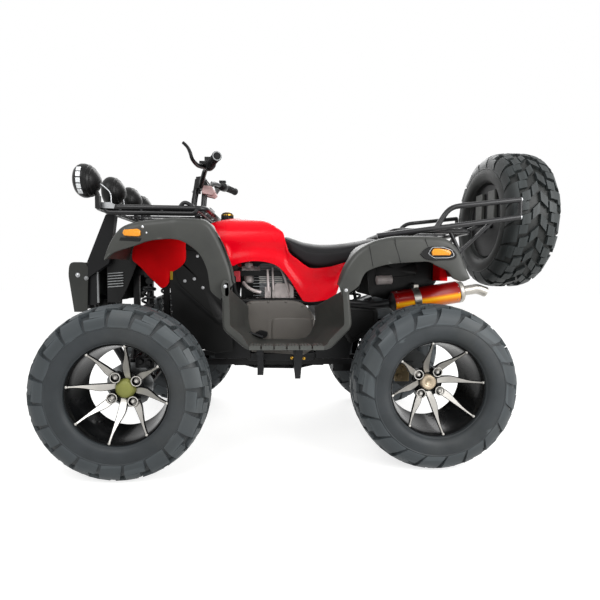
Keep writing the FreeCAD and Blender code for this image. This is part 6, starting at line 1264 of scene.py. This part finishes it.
def springs():
    """Coil springs with their dampers, front and rear, in place of the plain shock bodies."""
    body, spring = damper((-580, -232, 366), (-580, -150, 705))
    piece("front_dampers", both(body), BLACK_PAINT, replaces=["front_shocks"])
    piece("front_springs", both([spring]), BLACK_PAINT, smooth=60)
    low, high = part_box("rear_shock")
    body, spring = damper((414, 0, low.z * 1000 + 16), (334, 0, high.z * 1000 - 16), turns=6.5)
    piece("rear_damper", body, BLACK_PAINT, replaces=["rear_shock"])
    piece("rear_spring", [spring], BLACK_PAINT, smooth=60)


def carrier():
    """The spare tyre's carrier: two arms to a dished plate with its clamping bolts."""
    parts = both([slab([(801, 916), (985, 995), (985, 1013), (801, 934)], -121, -103)])
    plate_x, plate_z = SPARE[0] - 80.4, 1004
    parts.append(turned([(0, 171), (6, 171), (6, 150), (3, 120), (3, 1)], (plate_x, 0, plate_z), (1, 0, 0), 64))
    piece("carrier_plate", parts, BLACK_PAINT, bevel=1.5, replaces=["spare_carrier"])
    nuts = [turned([(0, 11), (8, 11), (9, 8)], (plate_x - 0.5, NUT_CIRCLE * math.cos(a),
                                                   plate_z + NUT_CIRCLE * math.sin(a)), (-1, 0, 0), 6)
            for a in np.arange(NUTS) * 2 * math.pi / NUTS + 0.6]
    piece("carrier_nuts", nuts, BLACK_PAINT)
    piece("carrier_bars", both([box(plate_x - 14, plate_x + 1, -98, -30, 1002, 1138)]), GREY_ABS, bevel=3.0)


def canister():
    """The canister that shows under the left rear arch."""
    case = [(0, 16), (3, 20), (66, 20), (70, 16), (72, 1)]
    piece("canister", [turned(case, (408, -203, 716), (1, 0, 0.06), 28)], ALLOY)


for build in (wings, inner_sheets, tank, seat, footwell, nose, front_guard, racks, lamp_set, steering_gear, exhaust,
              engine_cover, cylinder, intake, underside, springs, carrier, canister):
    build()
dress(COVER_PAINT, "crankcase")


# Camera, light and floor

FLOOR_HALF, FLOOR_GLOW, SKY_LIGHT = 14.0, 0.76, 0.42
# name, place, aim, watts and width of each area light
LIGHTS = (("key", (-1.6, -3.2, 3.4), (0, 0, 0.5), 78, 2.2),
          ("fill", (2.6, -2.8, 2.0), (0, 0, 0.6), 125, 2.4),
          ("back", (0.5, 3.0, 3.2), (0, 0, 0.7), 80, 2.5))
# the camera that was fitted to the photograph: metres, radians and millimetres
CAMERA_PLACE = (-0.0299 + SHIFT / 1000, -2.167, 0.7465)
CAMERA_YAW, CAMERA_PITCH, CAMERA_ROLL = 0.0538, -0.0601, 0.0083
CAMERA_LENS, CAMERA_SENSOR = 27.25, 36.0


def any_view(tree):
    """One where the ray comes from the camera, a glossy surface or a clear one."""
    path = add(tree, "ShaderNodeLightPath")
    first = add(tree, "ShaderNodeMath", {0: path.outputs["Is Camera Ray"], 1: path.outputs["Is Glossy Ray"]},
                operation="MAXIMUM")
    return add(tree, "ShaderNodeMath", {0: first.outputs[0], 1: path.outputs["Is Transmission Ray"]},
               operation="MAXIMUM").outputs[0]


def studio():
    """A pale floor and backdrop, soft light from above and both sides, and the camera at the photograph's place."""
    white = bpy.data.materials.new("studio floor")
    white.use_nodes = True
    tree = white.node_tree
    shader = tree.nodes["Principled BSDF"]
    shader.inputs["Base Color"].default_value = linear("b8b8b6")
    shader.inputs["Roughness"].default_value = 0.9
    glow = add(tree, "ShaderNodeMath", {0: any_view(tree)}, operation="MULTIPLY", in_1=FLOOR_GLOW).outputs[0]
    plain = add(tree, "ShaderNodeEmission", {"Strength": glow}, in_Color=(1, 1, 1, 1))
    lit = add(tree, "ShaderNodeAddShader", {0: shader.outputs[0], 1: plain.outputs[0]})
    tree.links.new(lit.outputs[0], tree.nodes["Material Output"].inputs["Surface"])
    mesh = bpy.data.meshes.new("floor")
    corners = [(x * FLOOR_HALF, y * FLOOR_HALF, 0) for x, y in ((-1, -1), (1, -1), (1, 1), (-1, 1))]
    mesh.from_pydata(corners, [], [(0, 1, 2, 3)])
    floor = bpy.data.objects.new("floor", mesh)
    bpy.context.scene.collection.objects.link(floor)
    mesh.materials.append(white)
    world = bpy.data.worlds.new("studio")
    bpy.context.scene.world = world
    world.use_nodes = True
    tree = world.node_tree
    soft = add(tree, "ShaderNodeBackground", in_Color=(1, 1, 1, 1), in_Strength=SKY_LIGHT)
    pale = add(tree, "ShaderNodeBackground", in_Color=(1, 1, 1, 1), in_Strength=1.0)
    mix = add(tree, "ShaderNodeMixShader", {0: any_view(tree), 1: soft.outputs[0], 2: pale.outputs[0]})
    tree.links.new(mix.outputs[0], tree.nodes["World Output"].inputs[0])
    for name, place, aim, energy, wide in LIGHTS:
        light = bpy.data.lights.new(name, "AREA")
        light.energy, light.size = energy, wide
        lamp = bpy.data.objects.new(name, light)
        bpy.context.scene.collection.objects.link(lamp)
        lamp.location = place
        lamp.rotation_mode = "QUATERNION"
        lamp.rotation_quaternion = (Vector(aim) - Vector(place)).to_track_quat("-Z", "Y")
    camera = bpy.data.cameras.new("camera")
    camera.lens, camera.sensor_width = CAMERA_LENS, CAMERA_SENSOR
    view = bpy.data.objects.new("camera", camera)
    bpy.context.scene.collection.objects.link(view)
    yaw, pitch, roll = CAMERA_YAW, CAMERA_PITCH, CAMERA_ROLL
    forward = Vector((math.sin(yaw) * math.cos(pitch), math.cos(yaw) * math.cos(pitch), math.sin(pitch)))
    right = Vector((math.cos(yaw), -math.sin(yaw), 0))
    up = right.cross(forward)
    right, up = (right * math.cos(roll) + up * math.sin(roll), -right * math.sin(roll) + up * math.cos(roll))
    turn = Matrix((right, up, -forward)).transposed().to_4x4()
    view.matrix_world = Matrix.Translation(CAMERA_PLACE) @ turn
    bpy.context.scene.camera = view
    bpy.context.scene.view_settings.view_transform = "Standard"


studio()
